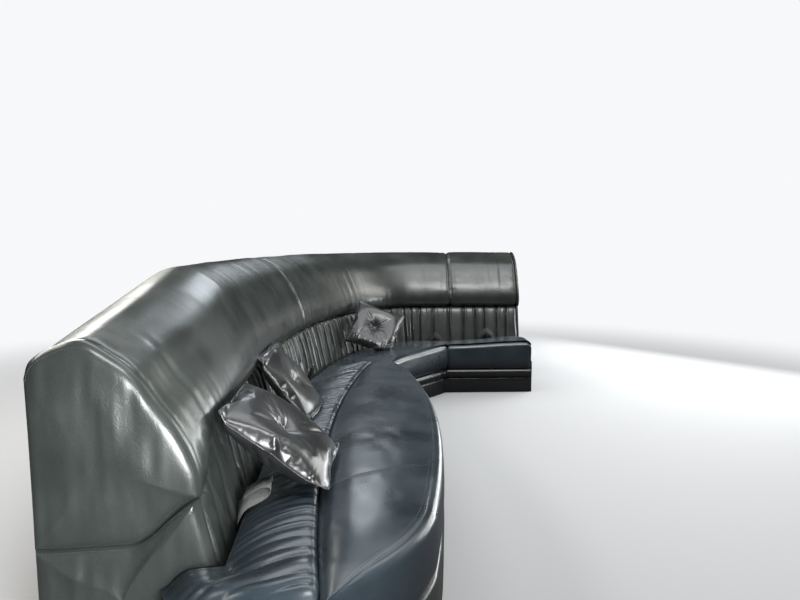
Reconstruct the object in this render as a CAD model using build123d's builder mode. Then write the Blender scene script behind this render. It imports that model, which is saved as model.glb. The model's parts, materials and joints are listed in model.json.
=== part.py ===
from build123d import *
import math
import os

# A wraparound lounge seat from a stretched saloon: a side bench, a curved corner and
# a short rear bench on one plywood frame. Millimetres, +Z up, +Y towards the rear bench,
# origin on the floor under the middle of the whole seat.

os.makedirs("parts", exist_ok=True)

# Driving sizes of the whole seat
OVERALL_WIDTH = 1530.0
OVERALL_LENGTH = 2950.0
SEAT_HEIGHT = 310.0
BAND_TOP = 450.0
CREST_REAR = 772.0
CREST_NEAR = 672.0

# Frame: plywood boards and the deck that carries the foam
PLY = 12.0
DECK_PLY = 15.0
DECK_TOP = 175.0
BACK_BOARD_TOP = 600.0
BACK_DEPTH = 270.0
BAND_DEPTH = 60.0
BAND_FOOT = 50.0
TOUCH = 0.3

# Backrest line in plan, where the pleated band meets the roll above it:
# a straight along the side, three arcs round the corner, a straight along the rear
START_HEADING = -3.5
END_RETURN = 220.0
ARC_LENGTHS = (1000.0, 620.0, 470.0)
ARC_TURNS = (14.0, 20.0, 59.5)
CORNER_ARCS = list(zip(ARC_LENGTHS, ARC_TURNS))
SIDE_SEAM = 1500.0
CORNER_SEAM_FROM_END = 415.0

X_LEFT = -OVERALL_WIDTH / 2
X_RIGHT = OVERALL_WIDTH / 2
Y_NEAR = -OVERALL_LENGTH / 2
Y_FAR = OVERALL_LENGTH / 2
BACK_FACE = BACK_DEPTH + PLY


def arc_step(length, turn, heading):
    """Plan offset and new heading after an arc that turns to the right."""
    radius = length / math.radians(turn)
    h0 = math.radians(heading)
    h1 = math.radians(heading + turn)
    return radius * (math.cos(h0) - math.cos(h1)), radius * (math.sin(h1) - math.sin(h0)), heading + turn


def corner_reach():
    dx = 0.0
    dy = 0.0
    heading = START_HEADING
    for length, turn in CORNER_ARCS:
        step_x, step_y, heading = arc_step(length, turn, heading)
        dx += step_x
        dy += step_y
    return dx, dy


CORNER_DX, CORNER_DY = corner_reach()
Y_START = Y_NEAR + END_RETURN
SIDE_RUN = (Y_FAR - BACK_FACE - Y_START - CORNER_DY) / math.cos(math.radians(START_HEADING))
FIRST_RADIUS = CORNER_ARCS[0][0] / math.radians(CORNER_ARCS[0][1])
START_LEAN = math.radians(-START_HEADING)
SWAY = SIDE_RUN * math.sin(START_LEAN) + FIRST_RADIUS * (1 - math.cos(START_LEAN))
LINE_START = (X_LEFT + BACK_FACE + SWAY, Y_START)
REAR_START_X = LINE_START[0] + SIDE_RUN * math.sin(math.radians(START_HEADING)) + CORNER_DX
REAR_RUN = X_RIGHT - PLY - REAR_START_X

RUNS = [(SIDE_RUN, 0.0)] + CORNER_ARCS + [(REAR_RUN, 0.0)]
LINE_LENGTH = sum(length for length, turn in RUNS)
BREAKS = [sum(length for length, turn in RUNS[:i]) for i in range(len(RUNS) + 1)]


def along(s):
    """Point and heading (degrees from +Y towards +X) at a length s of the backrest line."""
    x, y = LINE_START
    heading = START_HEADING
    for i, (length, turn) in enumerate(RUNS):
        last = i == len(RUNS) - 1
        part = min(s, length) if not last else s
        if turn:
            dx, dy, heading = arc_step(part, turn * part / length, heading) if part > 0 else (0, 0, heading)
        else:
            dx = part * math.sin(math.radians(heading))
            dy = part * math.cos(math.radians(heading))
        x += dx
        y += dy
        s -= part
        if s <= 1e-9:
            break
    return x, y, heading


def point(s, n):
    """Plan point at length s, n millimetres from the line towards the cabin."""
    x, y, heading = along(s)
    h = math.radians(heading)
    return x + n * math.cos(h), y - n * math.sin(h)


def bend(start, middle, end):
    """An arc through three points, or a line where they lie straight."""
    turn = (middle[0] - start[0]) * (end[1] - start[1]) - (middle[1] - start[1]) * (end[0] - start[0])
    if abs(turn) < 1.0:
        Line(start, end)
    else:
        ThreePointArc(start, middle, end)


def line_edges(n, s0, s1):
    """Lines and arcs that follow the backrest line at an offset, for use in BuildLine."""
    cuts = [s0] + [b for b in BREAKS if s0 + 1.0 < b < s1 - 1.0] + [s1]
    for a, b in zip(cuts, cuts[1:]):
        bend(point(a, n), point((a + b) / 2, n), point(b, n))


def ribbon_edges(inner, outer, s0, s1):
    """Closed plan outline between two offsets of the backrest line."""
    line_edges(inner, s0, s1)
    line_edges(outer, s0, s1)
    Line(point(s0, inner), point(s0, outer))
    Line(point(s1, inner), point(s1, outer))


def cross_plane(s):
    """Upright plane across the backrest: local x towards the cabin, local y up."""
    x, y, heading = along(s)
    h = math.radians(heading)
    across = (math.cos(h), -math.sin(h), 0)
    return Plane(origin=(x, y, 0), x_dir=across, z_dir=(-math.sin(h), -math.cos(h), 0))


def write(name, label):
    name.part.label = label
    export_step(name.part, "parts/" + label + ".step")


S_SIDE = SIDE_SEAM
S_REAR = LINE_LENGTH - CORNER_SEAM_FROM_END
S_END = LINE_LENGTH

SECTIONS = (
    # name, start and end along the backrest line
    ("side", 0.0, S_SIDE),
    ("corner", S_SIDE, S_REAR),
    ("rear", S_REAR, S_END),
)


# Bent plywood back boards, standing on the floor
for name, s0, s1 in SECTIONS:
    with BuildPart() as back_board:
        with BuildSketch(Plane.XY):
            with BuildLine():
                ribbon_edges(-BACK_DEPTH, -BACK_FACE, s0, s1)
            make_face()
        extrude(amount=BACK_BOARD_TOP)
    write(back_board, "back_board_" + name)

# Plywood band boards on the deck, behind the pleated bands
for name, s0, s1 in SECTIONS:
    with BuildPart() as band_board:
        with BuildSketch(Plane.XY.offset(DECK_TOP)):
            with BuildLine():
                ribbon_edges(-BAND_DEPTH, -BAND_DEPTH - PLY, s0, s1)
            make_face()
        extrude(amount=BAND_TOP - DECK_TOP)
    write(band_board, "band_board_" + name)


# Backrest rolls: a leaning crowned profile, lofted along the straights and turned round
# the arcs. The crest rises along the side and is level from the first arc onwards.
# The profile is slack and sloping at the near end and full from the first arc onwards.
CREST_IN = 185.0
CREST_FALL_RUN = 60.0
CREST_FALL = 10.0
ROLL_TAIL_DROP = 42.0
BULGE_RISE = 60.0
WAIST_RISE = 125.0
FULL_ROLL = (
    # bulge out, waist in, shoulder in, shoulder drop below the crest
    (0.0, -8.0, 66.0, 116.0, 43.0),
    (1.0, 16.0, 10.0, 62.0, 75.0),
)


def between(marks, s):
    """Value at s from a table of (length, value, ...) rows, straight between the rows."""
    for low, high in zip(marks, marks[1:]):
        if s <= high[0] + 1e-6:
            share = max(0.0, (s - low[0]) / (high[0] - low[0]))
            return [p + (q - p) * share for p, q in zip(low[1:], high[1:])]
    return list(marks[-1][1:])


def crest_height(s):
    return between(((0.0, CREST_NEAR), (BREAKS[1], CREST_REAR)), s)[0]


def roll_outline(s, back):
    """The roll's profile for use in BuildLine: front bulge, shoulder, crest and tail."""
    crest = crest_height(s)
    bulge, waist_in, shoulder_in, shoulder_drop = between(FULL_ROLL, s / BREAKS[1])
    waist = (-waist_in, BAND_TOP + WAIST_RISE)
    top = (-CREST_IN, crest)
    tail = (-back, crest - ROLL_TAIL_DROP)
    ThreePointArc((0, BAND_TOP), (bulge, BAND_TOP + BULGE_RISE), waist)
    ThreePointArc(waist, (-shoulder_in, crest - shoulder_drop), top)
    Polyline(top, (-CREST_IN - CREST_FALL_RUN, crest - CREST_FALL), tail)
    return tail


def roll_section(s):
    with BuildSketch(cross_plane(s)) as section:
        with BuildLine():
            tail = roll_outline(s, BACK_DEPTH)
            Polyline(tail, (tail[0], BAND_TOP), (0, BAND_TOP))
        make_face()
    return section.sketch


def follow_line(section, s0, s1):
    """Adds a section carried along the backrest line to the part in hand."""
    for (length, turn), start in zip(RUNS, BREAKS):
        a = max(s0, start)
        b = min(s1, start + length)
        if b - a < 1.0:
            continue
        if turn:
            centre = point(start, length / math.radians(turn))
            axis = Axis((centre[0], centre[1], 0), (0, 0, -1))
            revolve(section(a), axis=axis, revolution_arc=turn * (b - a) / length)
        else:
            loft([section(a), section(b)], ruled=True)


for name, s0, s1 in SECTIONS:
    with BuildPart() as roll:
        follow_line(roll_section, s0, s1)
    write(roll, "roll_" + name)


# Pleated lower bands: upright pleats that bulge between their stitched lines and lean back
SIDE_PLEAT = 62.0
REAR_PLEAT = 83.0
PLEAT_BULGE = 9.0
PLEAT_SHAPE = (
    # share of the pleat's width, share of its bulge
    (0.0, 0.0),
    (0.2, 0.64),
    (0.5, 1.0),
    (0.8, 0.64),
)
BAND_BACK = BAND_DEPTH - TOUCH


def band_outline(n, s0, s1, count):
    """Closed plan outline of a pleated band whose stitched lines lie at an offset."""
    pitch = (s1 - s0) / count
    seams = [s0 + pitch * i for i in range(count + 1)]
    front = [
        point(seam + run * pitch, n + rise * PLEAT_BULGE)
        for seam in seams[:-1]
        for run, rise in PLEAT_SHAPE
    ]
    back = [point(seam, -BAND_BACK) for seam in reversed(seams)]
    Polyline(*front, point(s1, n), *back, front[0])


BANDS = (
    # name, start, end, pleat width
    ("side", 0.0, S_SIDE, SIDE_PLEAT),
    ("corner", S_SIDE, S_REAR, REAR_PLEAT),
    ("rear", S_REAR, S_END, REAR_PLEAT),
)
for name, s0, s1, width in BANDS:
    pleats = round((s1 - s0) / width)
    with BuildPart() as band:
        with BuildSketch(Plane.XY.offset(DECK_TOP)) as foot:
            with BuildLine():
                band_outline(BAND_FOOT, s0, s1, pleats)
            make_face()
        with BuildSketch(Plane.XY.offset(BAND_TOP)) as top:
            with BuildLine():
                band_outline(-PLEAT_BULGE, s0, s1, pleats)
            make_face()
        loft([foot.sketch, top.sketch], ruled=True)
    write(band, "pleated_band_" + name)


# Plan of the seat. The leaf-shaped front panel bulges into the cabin, a ruched strip
# lies between it and the pleated band, and the rear bench front is straight with a mitre.
SIDE_REACH = 860.0
LEAF_TIP_IN = 94.0
LEAF_TIP_WIDTH = 125.0
LEAF_TIP_SLANT = 80.0
LEAF_SHOULDER_IN = 67.0
LEAF_NOSE_IN = 274.0
LEAF_TIP_GAP = 580.0
LEAF_SHOULDER_RUN = 256.0
SHOULDER_EASE = 0.33
WIDEST_SHIFT = 95.0
VALLEY_IN = 324.0
REAR_SEAT_DEPTH = 370.0
MITRE_FROM_END = 477.0
NEAR_END_BOW = 70.0
WING_PAD = 16.0
BAND_CLEAR = BAND_FOOT + PLEAT_BULGE + TOUCH
WING_FACE = -(PLY + WING_PAD + TOUCH)
WING_FOOT = point(WING_FACE, -BAND_DEPTH)

X_REACH = X_LEFT + SIDE_REACH
Y_REAR_FRONT = Y_FAR - BACK_FACE - REAR_SEAT_DEPTH
Y_TIP = Y_REAR_FRONT - LEAF_TIP_GAP
TIP_OUT = (X_REACH - LEAF_TIP_IN, Y_TIP)
TIP_IN = (TIP_OUT[0] - LEAF_TIP_WIDTH, Y_TIP + LEAF_TIP_SLANT)
WIDEST = (X_REACH, (Y_TIP + Y_NEAR) / 2 + WIDEST_SHIFT)
SHOULDER = (X_REACH - LEAF_SHOULDER_IN, Y_NEAR + LEAF_SHOULDER_RUN)
NOSE = (X_REACH - LEAF_NOSE_IN, Y_NEAR)
VALLEY_MID = (X_REACH - VALLEY_IN, WIDEST[1])
MITRE = (X_RIGHT - MITRE_FROM_END, Y_REAR_FRONT)
REAR_FRONT_END = (X_RIGHT - PLY, Y_REAR_FRONT)
CORNER_FRONT_RUN = 235.0
CORNER_FRONT = (TIP_OUT[0], Y_TIP + CORNER_FRONT_RUN)


def chord_mid(a, b, bow):
    """Point beside the middle of a chord, bow millimetres to its right."""
    dx = b[0] - a[0]
    dy = b[1] - a[1]
    span = math.hypot(dx, dy)
    return (a[0] + b[0]) / 2 + bow * dy / span, (a[1] + b[1]) / 2 - bow * dx / span


def leaf_front(inset):
    """The leaf panel's front, three arcs in one smooth curve, moved inwards by an inset."""
    nose = (NOSE[0] - inset, NOSE[1] + inset)
    shoulder = (SHOULDER[0] - inset, SHOULDER[1] + inset * SHOULDER_EASE)
    widest = (WIDEST[0] - inset, WIDEST[1])
    tip = (TIP_OUT[0] - inset, TIP_OUT[1])
    TangentArc(widest, tip, tangent=(0, 1))
    lower = TangentArc(widest, shoulder, tangent=(0, -1))
    TangentArc(shoulder, nose, tangent=lower % 1)
    return nose, tip


def near_end(inset):
    """The arc round the seat's near end, from the wing panel to the leaf's nose."""
    nose = (NOSE[0] - inset, NOSE[1] + inset)
    wall = (WING_FOOT[0] + inset, WING_FOOT[1])
    ThreePointArc(wall, chord_mid(wall, nose, NEAR_END_BOW), nose)
    return wall


def seat_front(inset):
    """The side seat's whole front, from the wing panel round the near end to the tip."""
    nose, tip = leaf_front(inset)
    return near_end(inset), tip


def shift_left(a, b, distance):
    """Unit direction of a run and its left normal times a distance."""
    span = math.hypot(b[0] - a[0], b[1] - a[1])
    ux = (b[0] - a[0]) / span
    uy = (b[1] - a[1]) / span
    return ux, uy, -uy * distance, ux * distance


def rear_front(inset):
    """Corners of the rear seat's front, from the leaf's tip to the right end, moved inwards."""
    corners = [TIP_OUT, CORNER_FRONT, MITRE, REAR_FRONT_END]
    moved = []
    for i, corner in enumerate(corners):
        before = shift_left(corners[max(i - 1, 0)], corners[max(i, 1)], 1.0)
        after = shift_left(corners[min(i, 2)], corners[min(i + 1, 3)], 1.0)
        nx = before[2] + after[2]
        ny = before[3] + after[3]
        scale = inset / (1.0 + before[2] * after[2] + before[3] * after[3])
        moved.append((corner[0] + nx * scale, corner[1] + ny * scale))
    return moved


# Leaf panel: a foam block with a softened rim
RIM_RADIUS = 22.0
with BuildPart() as leaf:
    with BuildSketch(Plane.XY.offset(DECK_TOP)):
        with BuildLine():
            leaf_front(0.0)
            Line(TIP_OUT, TIP_IN)
            ThreePointArc(TIP_IN, VALLEY_MID, NOSE)
        make_face()
    extrude(amount=SEAT_HEIGHT - DECK_TOP)
    arcs = leaf.edges().group_by(Axis.Z)[-1].filter_by(GeomType.CIRCLE).sort_by(Axis.X)
    rim = arcs[1:]
    fillet(rim, RIM_RADIUS)
write(leaf, "seat_leaf_panel")

# Ruched strip: gathered folds that run across from the leaf down to the pleated band
STRIP_TOP = 292.0
STRIP_FALL = 12.0
FOLD_PITCH = 42.0
FOLD_RISE = 7.0
FOLD_SHAPE = (
    # share of the pitch, share of the rise
    (0.0, 0.0),
    (0.22, 0.72),
    (0.5, 1.0),
    (0.78, 0.72),
)
with BuildPart() as ruched:
    y0 = Y_NEAR
    y1 = point(S_SIDE, 0.0)[1] + FOLD_PITCH
    folds = math.ceil((y1 - y0) / FOLD_PITCH)
    tilt = math.radians(STRIP_FALL)
    with BuildSketch(Plane(origin=(NOSE[0] + FOLD_PITCH, 0, 0), x_dir=(0, 1, 0), z_dir=(1, 0, 0))):
        with BuildLine():
            end = y0 + folds * FOLD_PITCH
            crests = [
                (y0 + (i + run) * FOLD_PITCH, STRIP_TOP + rise * FOLD_RISE)
                for i in range(folds)
                for run, rise in FOLD_SHAPE
            ]
            Polyline(*crests, (end, STRIP_TOP), (end, 0), (y0, 0), crests[0])
        make_face()
    extrude(amount=OVERALL_WIDTH / 2, dir=(-math.cos(tilt), 0, -math.sin(tilt)))
    with BuildSketch(Plane.XY.offset(DECK_TOP)):
        with BuildLine():
            ThreePointArc(TIP_IN, VALLEY_MID, NOSE)
            wall = near_end(0.0)
            Polyline(wall, point(WING_FACE, BAND_CLEAR), point(0.0, BAND_CLEAR))
            line_edges(BAND_CLEAR, 0.0, S_SIDE)
            Line(point(S_SIDE, BAND_CLEAR), TIP_IN)
        make_face()
    extrude(amount=STRIP_TOP, mode=Mode.INTERSECT)
write(ruched, "seat_ruched_strip")

# Rear seat: a corner cushion and a rear cushion, sewn together at the mitre
REAR_SEAT_BOTTOM = 135.0
REAR_SEAT_TOP = 290.0
CORNER_SEAT_TOP = 264.0
SKIRT = 18.0
MITRE_BACK = point(S_REAR, BAND_CLEAR)
with BuildPart() as corner_seat:
    with BuildSketch(Plane.XY.offset(DECK_TOP)):
        with BuildLine():
            Line(TIP_IN, TIP_OUT)
            Polyline(TIP_OUT, CORNER_FRONT, MITRE, MITRE_BACK)
            line_edges(BAND_CLEAR, S_SIDE, S_REAR)
            Line(point(S_SIDE, BAND_CLEAR), TIP_IN)
        make_face()
    extrude(amount=CORNER_SEAT_TOP - DECK_TOP)
    with BuildSketch(Plane.XY.offset(REAR_SEAT_BOTTOM)):
        with BuildLine():
            Polyline(*rear_front(0.0)[:3], *rear_front(SKIRT)[2::-1], TIP_OUT)
        make_face()
    extrude(amount=DECK_TOP - REAR_SEAT_BOTTOM)
write(corner_seat, "seat_corner_cushion")
with BuildPart() as rear_seat:
    with BuildSketch(Plane.XY.offset(DECK_TOP)):
        with BuildLine():
            Polyline(MITRE_BACK, MITRE, REAR_FRONT_END, point(S_END, BAND_CLEAR))
            line_edges(BAND_CLEAR, S_REAR, S_END)
        make_face()
    extrude(amount=REAR_SEAT_TOP - DECK_TOP)
    with BuildSketch(Plane.XY.offset(REAR_SEAT_BOTTOM)):
        with BuildLine():
            Polyline(*rear_front(0.0)[2:], *rear_front(SKIRT)[:1:-1], MITRE)
        make_face()
    extrude(amount=DECK_TOP - REAR_SEAT_BOTTOM)
write(rear_seat, "seat_rear_cushion")

# Skirt: leather over board that drops from the side seat's front and near end to the floor
with BuildPart() as skirt:
    with BuildSketch(Plane.XY):
        with BuildLine():
            outer_end, outer_tip = seat_front(0.0)
            inner_end, inner_tip = seat_front(SKIRT)
            Line(outer_end, inner_end)
            Line(outer_tip, inner_tip)
        make_face()
    extrude(amount=DECK_TOP)
write(skirt, "side_skirt")

# Front board behind the skirt, under the side deck
DECK_UNDER = DECK_TOP - DECK_PLY
with BuildPart() as front_board:
    with BuildSketch(Plane.XY):
        with BuildLine():
            outer_end, outer_tip = seat_front(SKIRT)
            inner_end, inner_tip = seat_front(SKIRT + PLY)
            Line(outer_end, inner_end)
            Line(outer_tip, inner_tip)
        make_face()
    extrude(amount=DECK_UNDER)
write(front_board, "front_board_side")

# Kick panel under the rear seat, set back, with a padded roll across its top
KICK_ROLL_IN = 8.0
KICK_PANEL_IN = 20.0
KICK_ROLL_LOW = 84.0
KICKS = (
    # name, front inset, back inset, lower and upper height
    ("kick_roll_rear", KICK_ROLL_IN, KICK_PANEL_IN, KICK_ROLL_LOW, REAR_SEAT_BOTTOM),
    ("kick_panel_rear", KICK_PANEL_IN, KICK_PANEL_IN + PLY, 0.0, DECK_UNDER),
)
for name, front, back, z0, z1 in KICKS:
    start = rear_front(front)[0]
    with BuildPart() as kick:
        with BuildSketch(Plane.XY.offset(z0)):
            with BuildLine():
                Polyline(*rear_front(front), *rear_front(back)[::-1], start)
            make_face()
        extrude(amount=z1 - z0)
    write(kick, name)

# Decks of plywood that carry the foam, resting on the boards
with BuildPart() as side_deck:
    with BuildSketch(Plane.XY.offset(DECK_UNDER)):
        with BuildLine():
            deck_end, deck_tip = seat_front(SKIRT)
            Polyline(deck_tip, TIP_IN, point(S_SIDE, -BACK_DEPTH))
            line_edges(-BACK_DEPTH, 0.0, S_SIDE)
            Polyline(point(0.0, -BACK_DEPTH), point(0.0, BAND_CLEAR), point(WING_FACE, BAND_CLEAR), deck_end)
        make_face()
    extrude(amount=DECK_PLY)
write(side_deck, "deck_side")
with BuildPart() as rear_deck:
    with BuildSketch(Plane.XY.offset(DECK_UNDER)):
        with BuildLine():
            Polyline(*rear_front(SKIRT), point(S_END, -BACK_DEPTH))
            line_edges(-BACK_DEPTH, S_SIDE, S_END)
            Polyline(point(S_SIDE, -BACK_DEPTH), TIP_IN, rear_front(SKIRT)[0])
        make_face()
    extrude(amount=DECK_PLY)
write(rear_deck, "deck_rear")

# End panels: plywood boards with the outline of the backrest. The rear one has a foot that
# closes the base under the rear deck, as far as the kick panel.
ABOVE_ALL = CREST_REAR * 2
ENDS = (
    # name, position along the line, thickness towards or away from the seat, reach of its foot
    ("near", 0.0, PLY, BAND_FOOT),
    ("rear", S_END, -PLY, REAR_SEAT_DEPTH - KICK_PANEL_IN),
)


def end_outline(s, low, high):
    """The backrest's outline at one end, cut between two heights."""
    with BuildSketch(cross_plane(s)) as outline:
        with BuildLine():
            tail = roll_outline(s, BACK_FACE)
            Polyline(tail, (tail[0], 0), (BAND_FOOT, 0), (BAND_FOOT, DECK_TOP), (0, BAND_TOP))
        make_face()
        with Locations((0, (low + high) / 2)):
            Rectangle(OVERALL_WIDTH, high - low, mode=Mode.INTERSECT)
    return outline.sketch


for name, s, thickness, foot in ENDS:
    with BuildPart() as end_panel:
        extrude(end_outline(s, 0.0, ABOVE_ALL), amount=thickness)
        if foot > BAND_FOOT:
            with BuildSketch(cross_plane(s)):
                with Locations((foot / 2, DECK_UNDER / 2)):
                    Rectangle(foot, DECK_UNDER)
            extrude(amount=thickness)
    write(end_panel, "end_panel_" + name)

# Wing panels: padded leather on the near end board, sewn together across
WING_SEAM = 330.0
WINGS = (
    # name, lower and upper height
    ("lower", 0.0, WING_SEAM),
    ("upper", WING_SEAM, ABOVE_ALL),
)
for name, low, high in WINGS:
    with BuildPart() as wing:
        extrude(end_outline(-PLY, low, high), amount=WING_PAD)
    write(wing, "wing_panel_" + name)

# Base ribs: upright plywood boards between the back boards and the front boards
RIB_FIRST = 330.0
RIB_PITCH = 500.0
RIB_COUNT = 3
RIB_Y = [Y_NEAR + RIB_FIRST + RIB_PITCH * i for i in range(RIB_COUNT)]
for i, y in enumerate(RIB_Y):
    with BuildPart() as rib:
        with BuildSketch(Plane.XY):
            with BuildLine():
                board_end, board_tip = seat_front(SKIRT + PLY)
                Polyline(board_tip, point(S_SIDE, -BACK_DEPTH))
                line_edges(-BACK_DEPTH, 0.0, S_SIDE)
                Polyline(point(0.0, -BACK_DEPTH), point(0.0, BAND_CLEAR), board_end)
            make_face()
            with Locations((0, y)):
                Rectangle(OVERALL_WIDTH, PLY, mode=Mode.INTERSECT)
        extrude(amount=DECK_UNDER)
    write(rib, "base_rib_side_" + str(i + 1))
REAR_RIB_FROM_END = (450.0, 112.0)
RIB_X = [X_RIGHT - distance for distance in REAR_RIB_FROM_END]
for i, x in enumerate(RIB_X):
    front = Y_REAR_FRONT + KICK_PANEL_IN + PLY
    with BuildPart() as rib:
        with BuildSketch(Plane.XY):
            with Locations((x, (front + Y_FAR - PLY) / 2)):
                Rectangle(PLY, Y_FAR - PLY - front)
        extrude(amount=DECK_UNDER)
    write(rib, "base_rib_rear_" + str(i + 1))

# Floor brackets: bent steel angles on the ribs, each with one bolt hole in its foot
BRACKET_LEG = 46.0
BRACKET_WIDTH = 40.0
BRACKET_STEEL = 4.0
BOLT_HOLE = 9.0
BOLT_REACH = 27.6
BRACKET_FROM_WALL = (205.0, 645.0)
BRACKET_FROM_FRONT = 110.0
BRACKET_FROM_BACK = 120.0
SIDE_BRACKET_X = [X_LEFT + distance for distance in BRACKET_FROM_WALL]
REAR_BRACKET_Y = (Y_REAR_FRONT + BRACKET_FROM_FRONT, Y_FAR - BRACKET_FROM_BACK)
SIDE_BRACKETS = [(x, y + PLY / 2, 90.0) for x in SIDE_BRACKET_X for y in RIB_Y[:2]]
REAR_BRACKETS = [(x - PLY / 2, y, 180.0) for x in RIB_X for y in REAR_BRACKET_Y]
for name, places in (("side", SIDE_BRACKETS), ("rear", REAR_BRACKETS)):
    with BuildPart() as brackets:
        for x, y, turn in places:
            foot = Plane(origin=(x, y, 0)).rotated((0, 0, turn))
            with BuildSketch(Plane(origin=foot.origin, x_dir=foot.x_dir, z_dir=-foot.y_dir)):
                with BuildLine():
                    Polyline(
                        (0, 0),
                        (BRACKET_LEG, 0),
                        (BRACKET_LEG, BRACKET_STEEL),
                        (BRACKET_STEEL, BRACKET_STEEL),
                        (BRACKET_STEEL, BRACKET_LEG),
                        (0, BRACKET_LEG),
                        (0, 0),
                    )
                make_face()
            extrude(amount=BRACKET_WIDTH / 2, both=True)
            with BuildSketch(foot):
                with Locations((BOLT_REACH, 0)):
                    Circle(BOLT_HOLE / 2)
            extrude(amount=BRACKET_STEEL, mode=Mode.SUBTRACT)
    write(brackets, "floor_brackets_" + name)

# Scatter cushions: three square pillows leaning on the backrest. Each outline draws its
# sides in between the corners, and both faces rise to a crown over rings of that outline.
CUSHION_THICK = 92.0
CUSHION_DRAW = 12.0
QUARTER_DRAW = 8.4
CUSHION_RINGS = (
    # share of the size, share of half the thickness
    (0.46, 1.0),
    (0.82, 0.66),
    (1.0, 0.13),
)
CUSHIONS = (
    # name, size, place along the line, distance from it, height, lean, turn, spin
    ("near", 290.0, 262.0, 127.6, 405.9, 38.0, 0.0, 0.0),
    ("middle", 270.0, 824.0, 104.8, 373.9, 52.0, 0.0, 0.0),
    ("far", 270.0, 2140.0, 164.5, 378.3, 55.0, -80.0, 24.0),
)


def pillow_ring(plane, size, share, level):
    """Corners of one outline of the pillow, at its height over the middle plane."""
    half = size / 2 * share
    side = half - CUSHION_DRAW * share
    quarter = half - QUARTER_DRAW * share
    ring = []
    edge = [(half, -half), (quarter, -half / 2), (side, 0), (quarter, half / 2)]
    for turn in range(4):
        ring += edge
        edge = [(-y, x) for x, y in edge]
    return [plane.from_local_coords((x, y, level * CUSHION_THICK / 2)) for x, y in ring]


def pillow_solid(plane, size):
    """A pillow of flat faces, sewn together from ring to ring."""
    levels = [(share, -level) for share, level in CUSHION_RINGS] + list(CUSHION_RINGS)[::-1]
    rings = [pillow_ring(plane, size, *level) for level in levels]
    panels = [rings[0], rings[-1]]
    for low, high in zip(rings, rings[1:]):
        for i in range(len(low)):
            k = (i + 1) % len(low)
            panels.append([low[i], low[k], high[k], high[i]])
    faces = [Face(Wire.make_polygon(panel, close=True)) for panel in panels]
    with BuildPart() as pillow:
        add(Solid(Shell(faces)))
    return pillow


def pillow_plane(s, n, z, lean, turn, spin):
    """Plane of a pillow's middle: spun in itself, tipped by its lean, turned about the upright."""
    x, y = point(s, n)
    tip = math.radians(lean)
    way = math.radians(turn)
    normal = (math.sin(tip) * math.cos(way), math.sin(tip) * math.sin(way), math.cos(tip))
    down = (math.cos(tip) * math.cos(way), math.cos(tip) * math.sin(way), -math.sin(tip))
    return Plane(origin=(x, y, z), x_dir=down, z_dir=normal).rotated((0, 0, -spin))


for name, size, *place in CUSHIONS:
    pillow = pillow_solid(pillow_plane(*place), size)
    write(pillow, "scatter_cushion_" + name)

# Lap belt ends that stick out of the gap between the seat and the pleated band
BELT_WIDTH = 46.0
STRAP = 4.0
BELT_ROOT = BAND_CLEAR + TOUCH
STRAP_OUT = 58.0
STRAP_RISE = 40.0
TONGUE_DEPTH = 16.0
BUCKLE_DEPTH = 22.0
BUCKLE_HEIGHT = 58.0
BUCKLE_WIDTH = 30.0


def belt_profile(kind, z):
    """Side profile of a belt end, local x out of the band, local y up."""
    root = BELT_ROOT
    if kind == "strap":
        tip = (root + STRAP_OUT, z + STRAP_RISE)
        lip = (tip[0] - STRAP / 2, tip[1] + STRAP)
        return [(root, z), (root + STRAP, z), tip, lip, (root, z + STRAP)]
    if kind == "tongue":
        return [(root, z), (root + TONGUE_DEPTH, z), (root + STRAP, z + STRAP_RISE), (root, z + STRAP_RISE)]
    out = root + BUCKLE_DEPTH
    top = z + BUCKLE_HEIGHT
    return [(root, z), (out, z), (out, top), (root + STRAP, top), (root, z + STRAP)]


def fold_height(s, n):
    """Height of the ruched strip's fold tops at a plan point."""
    inwards = NOSE[0] + FOLD_PITCH - point(s, n)[0]
    return STRIP_TOP + FOLD_RISE - inwards * math.tan(math.radians(STRIP_FALL))


STRAP_AT = 155.0
BUCKLE_FROM_SEAM = 145.0
TONGUE_FROM_SEAM = 91.0
TONGUE_FROM_END = 197.0
TONGUE_WIDTH = BELT_WIDTH * 2
BUCKLE_AT = S_SIDE - BUCKLE_FROM_SEAM
BELTS = (
    # name, kind, place along the line, seat height there, width
    ("strap_side", "strap", STRAP_AT, fold_height(STRAP_AT, BELT_ROOT + STRAP), BELT_WIDTH),
    ("buckle_side", "buckle", BUCKLE_AT, fold_height(BUCKLE_AT, BELT_ROOT + BUCKLE_DEPTH), BUCKLE_WIDTH),
    ("tongue_corner", "tongue", S_REAR - TONGUE_FROM_SEAM, CORNER_SEAT_TOP, TONGUE_WIDTH),
    ("tongue_rear", "tongue", S_END - TONGUE_FROM_END, REAR_SEAT_TOP, TONGUE_WIDTH),
)
for name, kind, s, seat_top, width in BELTS:
    outline = belt_profile(kind, seat_top + TOUCH)
    with BuildPart() as belt:
        with BuildSketch(cross_plane(s)):
            with BuildLine():
                Polyline(*outline, outline[0])
            make_face()
        extrude(amount=width / 2, both=True)
    write(belt, "belt_" + name)
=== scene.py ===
import json
import math

import bmesh
import bpy
import numpy as np
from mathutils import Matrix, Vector
from mathutils.bvhtree import BVHTree

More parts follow.
